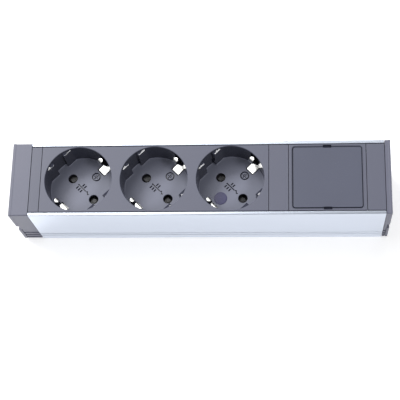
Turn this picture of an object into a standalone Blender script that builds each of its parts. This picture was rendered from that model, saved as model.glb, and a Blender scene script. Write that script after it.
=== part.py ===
"""Desk power strip: three round recessed sockets and one blank module in an aluminium channel.

Frame: metres, +X along the strip, +Y to its back, +Z up, origin under the middle of the strip
on the surface it stands on.
"""
import math

import bmesh
import bpy
from mathutils import Matrix, Vector

# Driving dimensions -------------------------------------------------------------------------
GAP = 0.0003                    # clearance between pieces that touch
MODULE = 0.045                  # pitch of the socket and module system
CHANNEL_WIDTH = 0.0455
CHANNEL_HEIGHT = 0.046
WALL = 0.002                    # aluminium wall, floor and top lip
CORNER = 0.0024                 # lower edge radius of the channel

LEFT_CAP = 0.0115               # lengths along X, from left to right
LEFT_FILLER = 0.0063
SOCKET_COUNT = 3
MIDDLE_FILLER = 0.0115
RIGHT_FILLER = 0.0107
RIGHT_CAP = 0.0034
LENGTH = LEFT_CAP + LEFT_FILLER + SOCKET_COUNT * MODULE + MIDDLE_FILLER + MODULE + RIGHT_FILLER + RIGHT_CAP

X_LEFT = -LENGTH / 2
X_CHANNEL = X_LEFT + LEFT_CAP
X_BLOCK = X_CHANNEL + LEFT_FILLER
X_BLOCK_END = X_BLOCK + SOCKET_COUNT * MODULE
X_MODULE = X_BLOCK_END + MIDDLE_FILLER
X_MODULE_END = X_MODULE + MODULE
X_CHANNEL_END = X_MODULE_END + RIGHT_FILLER
X_RIGHT = X_CHANNEL_END + RIGHT_CAP
SOCKETS = [X_BLOCK + MODULE * (i + 0.5) for i in range(SOCKET_COUNT)]

FACE_Z = CHANNEL_HEIGHT         # top face of every insert
INSERT_HALF = CHANNEL_WIDTH / 2 - WALL - GAP
FACE_PLATE = 0.0025
LEG_LOW = 0.0370                # lower end of an insert's clip-in legs
SNAP_LOW = 0.0401               # snap groove inside the channel
SNAP_HIGH = 0.0430
SNAP_DEPTH = 0.0007

RECESS_R = 0.01995
RECESS_DEPTH = 0.0175
FLOOR_Z = FACE_Z - RECESS_DEPTH
FLOOR_THICK = 0.0015
CUP_R = 0.0212
FLAT_R = 0.0173                 # guide flats beside the pins
FLAT_DROP = 0.0013              # guide tops below the face
NOTCH_HALF = 0.00365
PIN_CIRCLE_R = 0.0095
PIN_HOLE_R = 0.0028
PIN_ANGLE = math.radians(135)   # the pins stand on this diagonal, the earth clips across it
EARTH_ANGLE = math.radians(45)
CLIP_SLOT_IN = 0.0144
CLIP_SLOT_OUT = 0.0224
CLIP_SLOT_HALF = 0.0031
CLIP_SLOT_TOP = FACE_Z - 0.0015

CLIP_SHEET = 0.0006
CLIP_WIDTH = 0.0052
CLIP_FINGER = 0.0028
CLIP_UNDER_Z = 0.0264           # middle of the sheet where it crosses under the recess floor
CLIP_BASE_Z = 0.0277
CLIP_ARM_R = 0.0213

SHUTTER_TOP = 0.0254
SHUTTER_THICK = 0.0020
SHUTTER_LOBE_R = 0.0037
SHUTTER_HUB_R = 0.0034
RAMP_START = 0.0012             # where the ramp a pin pushes on begins, beside the lobe's middle
RAMP_ANGLE = math.radians(22)
POST_R = 0.0012
POST_LOW = 0.0214

TRAY_X = -0.0860
TRAY_X_END = X_BLOCK_END - 0.0009
TRAY_HALF = 0.0139
TRAY_LOW = 0.0050
TRAY_TOP = 0.0257
TRAY_WALL = 0.0013
TRAY_FLANGE = 0.0202
FLANGE_THICK = 0.0015
WIRE_NOTCH_HALF = 0.0020
BOSS_Y = 0.0170
BOSS_R = 0.0027
BLOCK_SCREWS = [(x + MODULE / 2, s * BOSS_Y) for x in SOCKETS[:2] for s in (-1, 1)]

HEAD_TALL = 0.0016              # height of every screw head

BUS_Z = 0.0078
BUS_THICK = 0.0008
BUS_WIDTH = 0.0066
LEAF_TOP = 0.0226
RAIL_Y = 0.0150
RAIL_THICK = 0.0008
RAIL_X = X_BLOCK + 0.0009

PORT_Y = 0.0179                 # end screw ports in the channel's lower corners
PORT_Z = 0.0054
PORT_R = 0.0015
PORT_INNER_Y = 0.0148
PORT_TOP = 0.0088

CAP_LOW = 0.0018
CAP_HIGH = CHANNEL_HEIGHT + 0.0004
CAP_WALL = 0.0020
CAP_PLATE = 0.0019              # outer plate of an end cap
CAP_CORNER = 0.0010
CAP_LINES = (0.0044, 0.0086, 0.0128)    # lower edges of the sunk lines round a cap's foot
CAP_LINE_TALL = 0.0017
CAP_LINE_DEPTH = 0.0009
CAP_NOTCH_DEEP = 0.0011
SCREW_TUBE_R = 0.0031

COVER_X = 0.0398
COVER_Y = 0.0373
COVER_THICK = 0.0020
WINDOW_X = 0.0360
WINDOW_Y = 0.0330
PRY_LENGTH = 0.0050
MODULE_X = (X_MODULE + X_MODULE_END) / 2

INLET_Z = 0.0160
INLET_Y_HALF = 0.0122
INLET_Z_HALF = 0.00845
INLET_WALL = 0.0015
INLET_DEEP = X_LEFT + 0.0160
PIN_HALF_Y = 0.0010
PIN_HALF_Z = 0.0020
PIN_TAIL = INLET_DEEP + 0.0040  # ends of the blades' tails, where the wires begin
WIRE_R = 0.0013
PINS = {"live": (0.0070, 0.0144), "neutral": (-0.0070, 0.0144), "earth": (0.0, 0.0184)}

BOND_X = -0.0905
BOND_Y = 0.0180

PARTS = None
CUTTERS = None


# Materials ----------------------------------------------------------------------------------
FINISHES = {
    "anodised_aluminium": ((0.72, 0.74, 0.78), 0.38, 1.0),
    "graphite_plastic": ((0.17, 0.18, 0.22), 0.55, 0.0),
    "cover_plastic": ((0.14, 0.15, 0.19), 0.55, 0.0),
    "cap_plastic": ((0.24, 0.25, 0.31), 0.50, 0.0),
    "carrier_plastic": ((0.62, 0.62, 0.58), 0.60, 0.0),
    "shutter_plastic": ((0.20, 0.20, 0.21), 0.50, 0.0),
    "inlet_plastic": ((0.03, 0.03, 0.035), 0.45, 0.0),
    "spring_brass": ((0.80, 0.62, 0.32), 0.30, 1.0),
    "nickel": ((0.86, 0.86, 0.84), 0.18, 1.0),
    "zinc_steel": ((0.70, 0.71, 0.73), 0.32, 1.0),
    "wire_brown": ((0.16, 0.07, 0.03), 0.45, 0.0),
    "wire_blue": ((0.04, 0.11, 0.42), 0.45, 0.0),
    "wire_green": ((0.15, 0.42, 0.08), 0.45, 0.0),
    "seal_film": ((0.09, 0.09, 0.19), 0.35, 0.0),
}


def finish(obj, slot):
    """Give an object a Principled material of its own."""
    colour, roughness, metallic = FINISHES[slot]
    material = bpy.data.materials.new(obj.name + "_" + slot)
    material.use_nodes = True
    shader = material.node_tree.nodes["Principled BSDF"]
    shader.inputs["Base Color"].default_value = (*colour, 1.0)
    shader.inputs["Roughness"].default_value = roughness
    shader.inputs["Metallic"].default_value = metallic
    obj.data.materials.clear()
    obj.data.materials.append(material)
    return obj


# Modelling helpers --------------------------------------------------------------------------
def new_collection(name):
    collection = bpy.data.collections.new(name)
    bpy.context.scene.collection.children.link(collection)
    return collection


def add(name, mesh, collection=None):
    obj = bpy.data.objects.new(name, mesh)
    (collection or PARTS).objects.link(obj)
    return obj


def drop(obj):
    """Make an object a cutter: not rendered, drawn as a wire."""
    for owner in list(obj.users_collection):
        owner.objects.unlink(obj)
    CUTTERS.objects.link(obj)
    obj.hide_render = True
    obj.display_type = "WIRE"
    return obj


def box(name, low, high):
    """A box between two corners."""
    low = Vector(low)
    high = Vector(high)
    bm = bmesh.new()
    bmesh.ops.create_cube(bm, size=1.0)
    bmesh.ops.scale(bm, vec=high - low, verts=bm.verts)
    bmesh.ops.translate(bm, vec=(low + high) / 2, verts=bm.verts)
    mesh = bpy.data.meshes.new(name)
    bm.to_mesh(mesh)
    bm.free()
    return add(name, mesh)


def cylinder(name, radius, start, end, segments=24, radius_end=None):
    """A cylinder or cone between two points."""
    start = Vector(start)
    end = Vector(end)
    turn = Vector((0, 0, 1)).rotation_difference(end - start).to_matrix().to_4x4()
    bm = bmesh.new()
    bmesh.ops.create_cone(
        bm,
        cap_ends=True,
        segments=segments,
        radius1=radius,
        radius2=radius if radius_end is None else radius_end,
        depth=(end - start).length,
        matrix=Matrix.Translation((start + end) / 2) @ turn,
    )
    mesh = bpy.data.meshes.new(name)
    bm.to_mesh(mesh)
    bm.free()
    obj = add(name, mesh)
    mesh.shade_smooth()
    mesh.set_sharp_from_angle(angle=math.radians(35))
    return obj


AXES = {
    "X": Matrix(((0, 0, 1), (1, 0, 0), (0, 1, 0))),   # outline (y, z), thickness along X
    "Y": Matrix(((1, 0, 0), (0, 0, -1), (0, 1, 0))),  # outline (x, z), thickness along -Y
    "Z": Matrix(((1, 0, 0), (0, 1, 0), (0, 0, 1))),   # outline (x, y), thickness along Z
}


def slab(name, outlines, low, high, axis="X"):
    """A flat outline, with any holes in it, filled and extruded from low to high along an axis."""
    if axis == "Y":
        low, high = -high, -low
    curve = bpy.data.curves.new(name, "CURVE")
    curve.dimensions = "2D"
    curve.fill_mode = "BOTH"
    curve.extrude = (high - low) / 2
    for points in outlines:
        spline = curve.splines.new("POLY")
        spline.points.add(len(points) - 1)
        for point, (u, v) in zip(spline.points, points):
            point.co = (u, v, 0.0, 1.0)
        spline.use_cyclic_u = True
    obj = add(name, curve)
    turn = AXES[axis].to_4x4()
    obj.matrix_world = Matrix.Translation(AXES[axis] @ Vector((0, 0, (low + high) / 2))) @ turn
    return made_mesh(obj)


def made_mesh(curve_obj):
    """Turn a curve object into a welded mesh object in the same place."""
    bpy.context.view_layer.update()
    place = curve_obj.matrix_world.copy()
    graph = bpy.context.evaluated_depsgraph_get()
    mesh = bpy.data.meshes.new_from_object(curve_obj.evaluated_get(graph))
    name = curve_obj.name
    bpy.data.objects.remove(curve_obj)
    bm = bmesh.new()
    bm.from_mesh(mesh)
    bmesh.ops.remove_doubles(bm, verts=bm.verts, dist=0.000001)
    bmesh.ops.recalc_face_normals(bm, faces=bm.faces)
    bm.to_mesh(mesh)
    bm.free()
    mesh.name = name
    obj = add(name, mesh)
    obj.matrix_world = place
    mesh.shade_smooth()
    mesh.set_sharp_from_angle(angle=math.radians(30))
    return obj


def tube(name, points, radius, segments=2):
    """A round wire through points."""
    curve = bpy.data.curves.new(name, "CURVE")
    curve.dimensions = "3D"
    curve.bevel_depth = radius
    curve.bevel_resolution = segments
    curve.use_fill_caps = True
    spline = curve.splines.new("POLY")
    spline.points.add(len(points) - 1)
    for point, place in zip(spline.points, points):
        point.co = (*place, 1.0)
    return add(name, curve)


def arc(cx, cy, radius, start, end, steps):
    """Points on an arc, both ends included, angles in radians."""
    angles = [start + (end - start) * i / steps for i in range(steps + 1)]
    return [(cx + radius * math.cos(a), cy + radius * math.sin(a)) for a in angles]


def mirrored(points):
    """A half outline and its mirror image across the first axis, as one closed outline."""
    return points + [(-u, v) for u, v in reversed(points)]


def strip(path, thickness):
    """The outline of a bent sheet of even thickness that follows a path of (u, v) points."""
    path = [Vector(p) for p in path]
    sides = ([], [])
    for i, point in enumerate(path):
        before = (point - path[i - 1]).normalized() if i else None
        after = (path[i + 1] - point).normalized() if i < len(path) - 1 else None
        before = before or after
        after = after or before
        along = (before + after).normalized()
        normal = Vector((-along.y, along.x))
        reach = thickness / 2 / max(0.4, along.dot(before))
        sides[0].append(tuple(point + normal * reach))
        sides[1].append(tuple(point - normal * reach))
    return sides[0] + sides[1][::-1]


def boolean(target, other, operation):
    """Apply a Boolean with another object, which becomes a cutter."""
    modifier = target.modifiers.new(operation.lower() + "_" + other.name, "BOOLEAN")
    modifier.operation = operation
    modifier.object = other
    modifier.solver = "EXACT"
    drop(other)
    return target


def cut(target, *others):
    for other in others:
        boolean(target, other, "DIFFERENCE")
    return target


def join(target, *others):
    for other in others:
        boolean(target, other, "UNION")
    return target


def manifold(obj):
    """Give an object's Booleans the MANIFOLD solver, where EXACT leaves a face open."""
    for modifier in obj.modifiers:
        modifier.solver = "MANIFOLD"
    return obj


def turned(obj, x, angle):
    """Turn an object built round the origin by an angle about Z and stand it at x."""
    obj.matrix_world = Matrix.Translation((x, 0, 0)) @ Matrix.Rotation(angle, 4, "Z") @ obj.matrix_world
    return obj


# Channel ------------------------------------------------------------------------------------
def side_outline(half, height, low):
    """Outer side of the channel and of the end caps, from the bottom middle up to the top edge."""
    points = [(0.0, low)]
    points += arc(half - CORNER, low + CORNER, CORNER, -math.pi / 2, 0, 5)
    for z in (0.0060, 0.0112):
        points += [(half, z - GAP), (half - 0.0005, z - GAP), (half - 0.0005, z + GAP), (half, z + GAP)]
    points += [(half, height - 0.0004), (half - 0.0004, height)]
    return points


def channel_outline():
    """Half of the extrusion's section: floor, screw port, wall, snap groove and lip."""
    half = CHANNEL_WIDTH / 2
    inner = half - WALL
    gap_angle = math.asin(0.0007 / PORT_R)
    points = side_outline(half, CHANNEL_HEIGHT, 0.0)
    points += [(inner + 0.0002, CHANNEL_HEIGHT), (inner, CHANNEL_HEIGHT - 0.0002), (inner, SNAP_HIGH)]
    points += [(inner + SNAP_DEPTH, SNAP_HIGH), (inner + SNAP_DEPTH, SNAP_LOW), (inner, SNAP_LOW)]
    points += [(inner, PORT_TOP), (PORT_INNER_Y, PORT_TOP), (PORT_INNER_Y, PORT_Z + 0.0007)]
    points += arc(PORT_Y, PORT_Z, PORT_R, math.pi - gap_angle, gap_angle - math.pi, 14)
    points += [(PORT_INNER_Y, PORT_Z - 0.0007), (PORT_INNER_Y, WALL), (0.0, WALL)]
    return points


def housing_profile():
    """The extruded channel that everything clips into, with the hole for its earth screw."""
    half = channel_outline()
    outline = half[1:-1] + [(-u, v) for u, v in reversed(half[1:-1])]
    channel = slab("housing_profile", [outline], X_CHANNEL + GAP / 2, X_CHANNEL_END - GAP / 2)
    bond_hole = cylinder(
        "bond_hole", 0.0014, (BOND_X, BOND_Y, PORT_Z - 0.0012), (BOND_X, BOND_Y, PORT_TOP + 0.001), 16
    )
    return finish(cut(channel, bond_hole), "anodised_aluminium")


# Inserts ------------------------------------------------------------------------------------
def insert_outline(leg):
    """Section of a clip-in insert: face plate, two legs and their snap beads."""
    half = INSERT_HALF
    bead = half + SNAP_DEPTH
    points = [(half, FACE_Z), (half, SNAP_HIGH - GAP), (bead, SNAP_HIGH - GAP)]
    points += [(bead, SNAP_HIGH - 0.0012), (half, SNAP_LOW + GAP), (half, LEG_LOW)]
    points += [(half - leg, LEG_LOW), (half - leg, FACE_Z - FACE_PLATE)]
    return mirrored(points)


def insert(name, x_low, x_high, leg=0.0016):
    """A clip-in insert between two places along X."""
    return slab(name, [insert_outline(leg)], x_low + GAP / 2, x_high - GAP / 2)


def filler(name, x_low, x_high):
    """A plain insert."""
    return finish(insert(name, x_low, x_high), "graphite_plastic")


# Socket block -------------------------------------------------------------------------------
def guided_circle():
    """Recess outline inside the guides: a circle with two flats, each with a middle notch."""
    reach = math.sqrt(RECESS_R ** 2 - FLAT_R ** 2)
    notch_u = math.sqrt(RECESS_R ** 2 - NOTCH_HALF ** 2)
    points = []
    for side in (0, math.pi):
        corner = math.asin(reach / RECESS_R)
        notch = math.asin(NOTCH_HALF / RECESS_R)
        local = [(FLAT_R, -reach), (FLAT_R, -NOTCH_HALF), (notch_u, -NOTCH_HALF)]
        local += arc(0, 0, RECESS_R, -notch / 2, notch / 2, 2)
        local += [(notch_u, NOTCH_HALF), (FLAT_R, NOTCH_HALF), (FLAT_R, reach)]
        local += arc(0, 0, RECESS_R, corner, math.pi - corner, 18)[1:-1]
        turn = Matrix.Rotation(side + PIN_ANGLE, 2)
        points += [tuple(turn @ Vector(p)) for p in local]
    return points


def recess_cutters(index, x):
    """Everything that is hollow in one socket: recess, guides, pin holes and clip slots."""
    tag = "_%d" % index
    mouth = cylinder("mouth" + tag, RECESS_R, (x, 0, FACE_Z - FLAT_DROP), (x, 0, FACE_Z + 0.002), 56)
    well = slab("well" + tag, [guided_circle()], FLOOR_Z, FACE_Z - FLAT_DROP + 0.0001, "Z")
    well.location.x += x
    cutters = [mouth, well]
    low = FLOOR_Z - FLOOR_THICK - 0.001
    for side in (-1, 1):
        px = x + side * PIN_CIRCLE_R * math.cos(PIN_ANGLE)
        py = side * PIN_CIRCLE_R * math.sin(PIN_ANGLE)
        cutters.append(cylinder("pin_hole" + tag, PIN_HOLE_R, (px, py, low), (px, py, FLOOR_Z + 0.001), 20))
        slot = box(
            "clip_slot" + tag,
            (CLIP_SLOT_IN, -CLIP_SLOT_HALF, low),
            (CLIP_SLOT_OUT, CLIP_SLOT_HALF, CLIP_SLOT_TOP),
        )
        cutters.append(turned(slot, x, EARTH_ANGLE + (0 if side > 0 else math.pi)))
    return cutters


def socket_block_face():
    """One moulding with three cups, screw bosses and a post under each cup for its shutter."""
    block = insert("socket_block_face", X_BLOCK, X_BLOCK_END, leg=0.0006)
    cups_low = FLOOR_Z - FLOOR_THICK
    for i, x in enumerate(SOCKETS):
        cup = cylinder("cup_%d" % i, CUP_R, (x, 0, cups_low), (x, 0, FACE_Z - 0.001), 56)
        trim = box("cup_trim_%d" % i, (x - 0.03, -INSERT_HALF, 0), (x + 0.03, INSERT_HALF, 0.06))
        join(block, boolean(cup, trim, "INTERSECT"))
        join(block, cylinder("post_%d" % i, POST_R, (x, 0, POST_LOW), (x, 0, cups_low + 0.0005), 12))
    for x, y in BLOCK_SCREWS:
        boss = cylinder("boss", BOSS_R, (x, y, TRAY_TOP + GAP), (x, y, FACE_Z - 0.0015), 16)
        join(block, boss)
    for i, x in enumerate(SOCKETS):
        cut(block, *recess_cutters(i, x))
    for x, y in BLOCK_SCREWS:
        cut(block, cylinder("boss_hole", 0.0014, (x, y, 0.02), (x, y, 0.036), 12))
    return finish(manifold(block), "graphite_plastic")


def socket_block_rear():
    """Carrier tray for the contacts, screwed up to the face moulding."""
    tray = box(
        "socket_block_rear",
        (TRAY_X, -TRAY_HALF, TRAY_LOW),
        (TRAY_X_END, TRAY_HALF, TRAY_TOP - 0.0001),
    )
    flange = box(
        "flange",
        (TRAY_X + 0.0012, -TRAY_FLANGE, TRAY_TOP - FLANGE_THICK),
        (TRAY_X_END - 0.0012, TRAY_FLANGE, TRAY_TOP),
    )
    join(tray, flange)
    inner = TRAY_HALF - TRAY_WALL
    for side, name in ((-1, "front_trough"), (1, "back_trough")):
        y_low, y_high = sorted((side * 0.0006, side * inner))
        trough = box(
            name,
            (TRAY_X + TRAY_WALL, y_low, TRAY_LOW + 0.0015),
            (TRAY_X_END - TRAY_WALL, y_high, TRAY_TOP + 0.001),
        )
        cut(tray, trough)
    over_rib = box(
        "over_rib",
        (TRAY_X + TRAY_WALL, -inner, POST_LOW - 0.0012),
        (TRAY_X_END - TRAY_WALL, inner, TRAY_TOP + 0.001),
    )
    cut(tray, over_rib)
    for side in (-1, 1):
        y = side * PIN_CIRCLE_R * math.sin(PIN_ANGLE)
        notch = box(
            "wire_notch",
            (TRAY_X - 0.001, y - WIRE_NOTCH_HALF, BUS_Z + 0.0006),
            (TRAY_X + 0.002, y + WIRE_NOTCH_HALF, TRAY_TOP + 0.001),
        )
        cut(tray, notch)
    for x, y in BLOCK_SCREWS:
        cut(tray, cylinder("flange_hole", 0.0016, (x, y, 0.022), (x, y, 0.028), 12))
    for x in SOCKETS:
        cut(tray, box("rail_notch", (x + 0.0110, 0.0142, 0.02), (x + 0.0170, 0.0162, 0.03)))
    return finish(tray, "carrier_plastic")


def screw_x(name, x_head, x_tip, y, z):
    """A pan-head screw lying along X, with a cross recess in its head."""
    way = 1 if x_tip > x_head else -1
    neck = x_head + way * HEAD_TALL
    head = cylinder(name, 0.0023, (x_head, y, z), (neck, y, z), 20, 0.0027)
    shank = cylinder("shank", 0.00115, (neck - way * 0.0002, y, z), (x_tip, y, z), 12)
    join(head, shank)
    for half_y, half_z in ((0.0014, 0.0003), (0.0003, 0.0014)):
        low = (min(x_head - way * 0.001, x_head + way * 0.0009), y - half_y, z - half_z)
        high = (max(x_head - way * 0.001, x_head + way * 0.0009), y + half_y, z + half_z)
        cut(head, box("cross", low, high))
    return head


def screw_z(name, x, y, z_head, z_tip, head_r, shank_r):
    """A pan-head screw standing along Z: its head at z_head, its tip at z_tip."""
    way = 1 if z_tip > z_head else -1
    neck = z_head + way * HEAD_TALL
    head = cylinder(name, head_r * 0.86, (x, y, z_head), (x, y, neck), 20, head_r)
    join(head, cylinder("shank", shank_r, (x, y, neck - way * 0.0002), (x, y, z_tip), 12))
    for half_x, half_y in ((0.0013, 0.0003), (0.0003, 0.0013)):
        z_low, z_high = sorted((z_head - way * 0.001, z_head + way * 0.0008))
        cut(head, box("cross", (x - half_x, y - half_y, z_low), (x + half_x, y + half_y, z_high)))
    return head


def block_screws():
    """Four screws up through the carrier's flange into the face moulding's bosses."""
    head_z = TRAY_TOP - FLANGE_THICK - GAP - HEAD_TALL
    for i, (x, y) in enumerate(BLOCK_SCREWS):
        finish(screw_z("block_screw_%d" % (i + 1), x, y, head_z, 0.0345, 0.0023, 0.0011), "zinc_steel")


# Contacts -----------------------------------------------------------------------------------
def busbar(name, side):
    """A brass strip with a pair of spring leaves standing up at each socket."""
    y = side * PIN_CIRCLE_R * math.sin(PIN_ANGLE)
    shift = side * PIN_CIRCLE_R * math.cos(PIN_ANGLE)
    start = TRAY_X + TRAY_WALL + GAP
    end = SOCKETS[-1] + shift + 0.0035
    bar = box(
        name,
        (start, y - BUS_WIDTH / 2, BUS_Z - BUS_THICK / 2),
        (end, y + BUS_WIDTH / 2, BUS_Z + BUS_THICK / 2),
    )
    for x in SOCKETS:
        for way in (-1, 1):
            path = [(y + way * 0.0027, BUS_Z), (y + way * 0.0027, 0.0115), (y + way * 0.0023, 0.0165),
                    (y + way * 0.0024, 0.0185), (y + way * 0.0033, LEAF_TOP)]
            leaf = slab("leaf", [strip(path, 0.0005)], x + shift - 0.0022, x + shift + 0.0022)
            join(bar, leaf)
    return finish(bar, "spring_brass")


def earth_rail():
    """A strip along the carrier's back side with a tab under each earth clip and a bonding foot."""
    y_low = RAIL_Y - RAIL_THICK / 2
    y_high = RAIL_Y + RAIL_THICK / 2
    tab_top = CLIP_BASE_Z - CLIP_SHEET / 2 - GAP
    rail = box("earth_rail", (RAIL_X, y_low, 0.0110), (SOCKETS[-1] + 0.0170, y_high, 0.0170))
    for x in SOCKETS:
        tab = box("rail_tab", (x + 0.0120, y_low, 0.0165), (x + 0.0160, y_high, tab_top))
        join(rail, tab)
    foot = box("rail_foot", (RAIL_X, y_low, 0.0100), (RAIL_X + 0.0060, 0.0202, 0.0108))
    riser = box("rail_riser", (RAIL_X, y_low, 0.0104), (RAIL_X + 0.0060, y_high, 0.0115))
    join(rail, foot, riser)
    cut(rail, cylinder("foot_hole", 0.0015, (BOND_X, BOND_Y, 0.009), (BOND_X, BOND_Y, 0.012), 16))
    return finish(rail, "spring_brass")


def earth_clip(index, x):
    """A U of spring sheet: under the recess floor, up both clip slots, and in as two fingers."""
    half = [(0.0148, CLIP_UNDER_Z), (0.0151, CLIP_BASE_Z), (CLIP_ARM_R - 0.0006, CLIP_BASE_Z + 0.0009)]
    half += [(CLIP_ARM_R, CLIP_BASE_Z + 0.0015), (CLIP_ARM_R, 0.0315), (0.0165, 0.0407), (0.0162, 0.0418)]
    half += [(0.0167, 0.0430), (0.0188, 0.0439)]
    path = [(-u, v) for u, v in reversed(half)] + half
    section = strip(path, CLIP_SHEET)
    sheet = slab("earth_clip_%d" % (index + 1), [section], -CLIP_WIDTH / 2, CLIP_WIDTH / 2, "Y")
    for side in (-1, 1):
        low, high = sorted((side * CLIP_FINGER / 2, side * 0.004))
        for reach in (-1, 1):
            u_low, u_high = sorted((reach * 0.0130, reach * 0.0225))
            cut(sheet, box("finger_trim", (u_low, low, 0.0372), (u_high, high, 0.0460)))
    cut(sheet, cylinder("post_hole", POST_R + 0.0005, (0, 0, 0.025), (0, 0, 0.028), 12))
    for cutter in [m.object for m in sheet.modifiers]:
        turned(cutter, x, EARTH_ANGLE)
    turned(sheet, x, EARTH_ANGLE)
    return finish(manifold(sheet), "nickel")


# Shutters -----------------------------------------------------------------------------------
def shutter_outline():
    """A hub and two lobes on one line, joined by arms narrower than either."""
    arm = 0.0017
    lobe_open = math.asin(arm / SHUTTER_LOBE_R)
    hub_open = math.asin(arm / SHUTTER_HUB_R)
    points = arc(PIN_CIRCLE_R, 0, SHUTTER_LOBE_R, lobe_open - math.pi, math.pi - lobe_open, 16)
    points += arc(0, 0, SHUTTER_HUB_R, hub_open, math.pi - hub_open, 8)
    points += arc(-PIN_CIRCLE_R, 0, SHUTTER_LOBE_R, lobe_open, 2 * math.pi - lobe_open, 16)
    points += arc(0, 0, SHUTTER_HUB_R, math.pi + hub_open, 2 * math.pi - hub_open, 8)
    return points


def shutter(index, x):
    """A two-lobed safety shutter on its post, its origin on the post's axis."""
    bore = arc(0, 0, POST_R + GAP, 0, 2 * math.pi * 11 / 12, 11)
    low = SHUTTER_TOP - SHUTTER_THICK
    rotor = slab("shutter_%d" % (index + 1), [shutter_outline(), bore], low, SHUTTER_TOP, "Z")
    for way in (0, math.pi):
        ramp = box(
            "ramp",
            (PIN_CIRCLE_R - 0.005, RAMP_START, SHUTTER_TOP - 0.0002),
            (PIN_CIRCLE_R + 0.005, 0.006, SHUTTER_TOP + 0.003),
        )
        hinge = Matrix.Translation((0, RAMP_START, SHUTTER_TOP))
        lean = hinge @ Matrix.Rotation(-RAMP_ANGLE, 4, "X") @ hinge.inverted()
        ramp.matrix_world = Matrix.Rotation(way, 4, "Z") @ lean
        cut(rotor, turned(ramp, x, PIN_ANGLE))
    turned(rotor, x, PIN_ANGLE)
    return finish(manifold(rotor), "shutter_plastic")


def shutter_spring(index, x):
    """A torsion coil round the post, with one leg against the carrier and one behind the shutter."""
    turns = 2.25
    per_turn = 10
    radius = 0.0022
    low = POST_LOW + 0.0002
    pitch = 0.00055
    points = [(x - 0.0075, -radius, low)]
    for i in range(int(turns * per_turn) + 1):
        angle = -math.pi / 2 + 2 * math.pi * i / per_turn
        points.append((x + radius * math.cos(angle), radius * math.sin(angle), low + pitch * i / per_turn))
    end = points[-1]
    points.append((end[0], end[1] + 0.005, end[2]))
    return finish(tube("shutter_spring_%d" % (index + 1), points, 0.0002), "zinc_steel")


# Blank module -------------------------------------------------------------------------------
def module_frame():
    """A clip-in frame with a stepped window for the blank cover and a pry slot on each long side."""
    frame = insert("module_frame", X_MODULE, X_MODULE_END)
    pry_left = MODULE_X - PRY_LENGTH / 2
    pry_right = MODULE_X + PRY_LENGTH / 2
    seat_x = COVER_X / 2 + GAP
    seat_y = COVER_Y / 2 + GAP
    seat = box(
        "cover_seat",
        (MODULE_X - seat_x, -seat_y, FACE_Z - COVER_THICK + 0.0002),
        (MODULE_X + seat_x, seat_y, FACE_Z + 0.001),
    )
    window = box(
        "window",
        (MODULE_X - WINDOW_X / 2, -WINDOW_Y / 2, 0.04),
        (MODULE_X + WINDOW_X / 2, WINDOW_Y / 2, 0.05),
    )
    base = box(
        "frame_base",
        (X_MODULE + GAP / 2, -INSERT_HALF + 0.0008, FACE_Z - 0.0036),
        (X_MODULE_END - GAP / 2, INSERT_HALF - 0.0008, FACE_Z - 0.0020),
    )
    join(frame, base)
    cut(frame, seat, window)
    for side in (-1, 1):
        y_low, y_high = sorted((side * 0.0180, side * 0.0196))
        cut(frame, box("pry", (pry_left, y_low, 0.0445), (pry_right, y_high, 0.05)))
    return finish(frame, "graphite_plastic")


def blank_cover():
    """The lift-out cover plate, with two snap legs that reach down through the window."""
    low = FACE_Z - COVER_THICK + 0.0002 + GAP
    cover = box(
        "blank_cover",
        (MODULE_X - COVER_X / 2, -COVER_Y / 2, low),
        (MODULE_X + COVER_X / 2, COVER_Y / 2, FACE_Z),
    )
    for side in (-1, 1):
        x_low, x_high = sorted((MODULE_X + side * 0.0164, MODULE_X + side * 0.0176))
        join(cover, box("leg", (x_low, -0.006, 0.0385), (x_high, 0.006, low + 0.0003)))
    pry_left = MODULE_X - PRY_LENGTH / 2
    pry_right = MODULE_X + PRY_LENGTH / 2
    for side in (-1, 1):
        y_low, y_high = sorted((side * 0.0182, side * 0.0200))
        cut(cover, box("notch", (pry_left, y_low, 0.03), (pry_right, y_high, 0.05)))
    return finish(cover, "cover_plastic")


# End caps -----------------------------------------------------------------------------------
def cap_outline():
    """Section of an end cap's plate: flat top, rounded lower corners."""
    half = CHANNEL_WIDTH / 2
    points = arc(half - CAP_CORNER, CAP_LOW + CAP_CORNER, CAP_CORNER, -math.pi / 2, 0, 5)
    points += [(half, CAP_HIGH - 0.0006), (half - 0.0006, CAP_HIGH)]
    return mirrored(points)


def cap_body_outline():
    """Section of the cap behind its plate, with three sunk lines along its foot."""
    half = CHANNEL_WIDTH / 2 - 0.0001
    low = CAP_LOW + 0.0001
    points = arc(half - CAP_CORNER, low + CAP_CORNER, CAP_CORNER, -math.pi / 2, 0, 5)
    for z in CAP_LINES:
        points += [(half, z), (half - CAP_LINE_DEPTH, z)]
        points += [(half - CAP_LINE_DEPTH, z + CAP_LINE_TALL), (half, z + CAP_LINE_TALL)]
    points += [(half, CAP_HIGH - 0.0008), (half - 0.0006, CAP_HIGH - 0.0002)]
    return mirrored(points)


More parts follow.
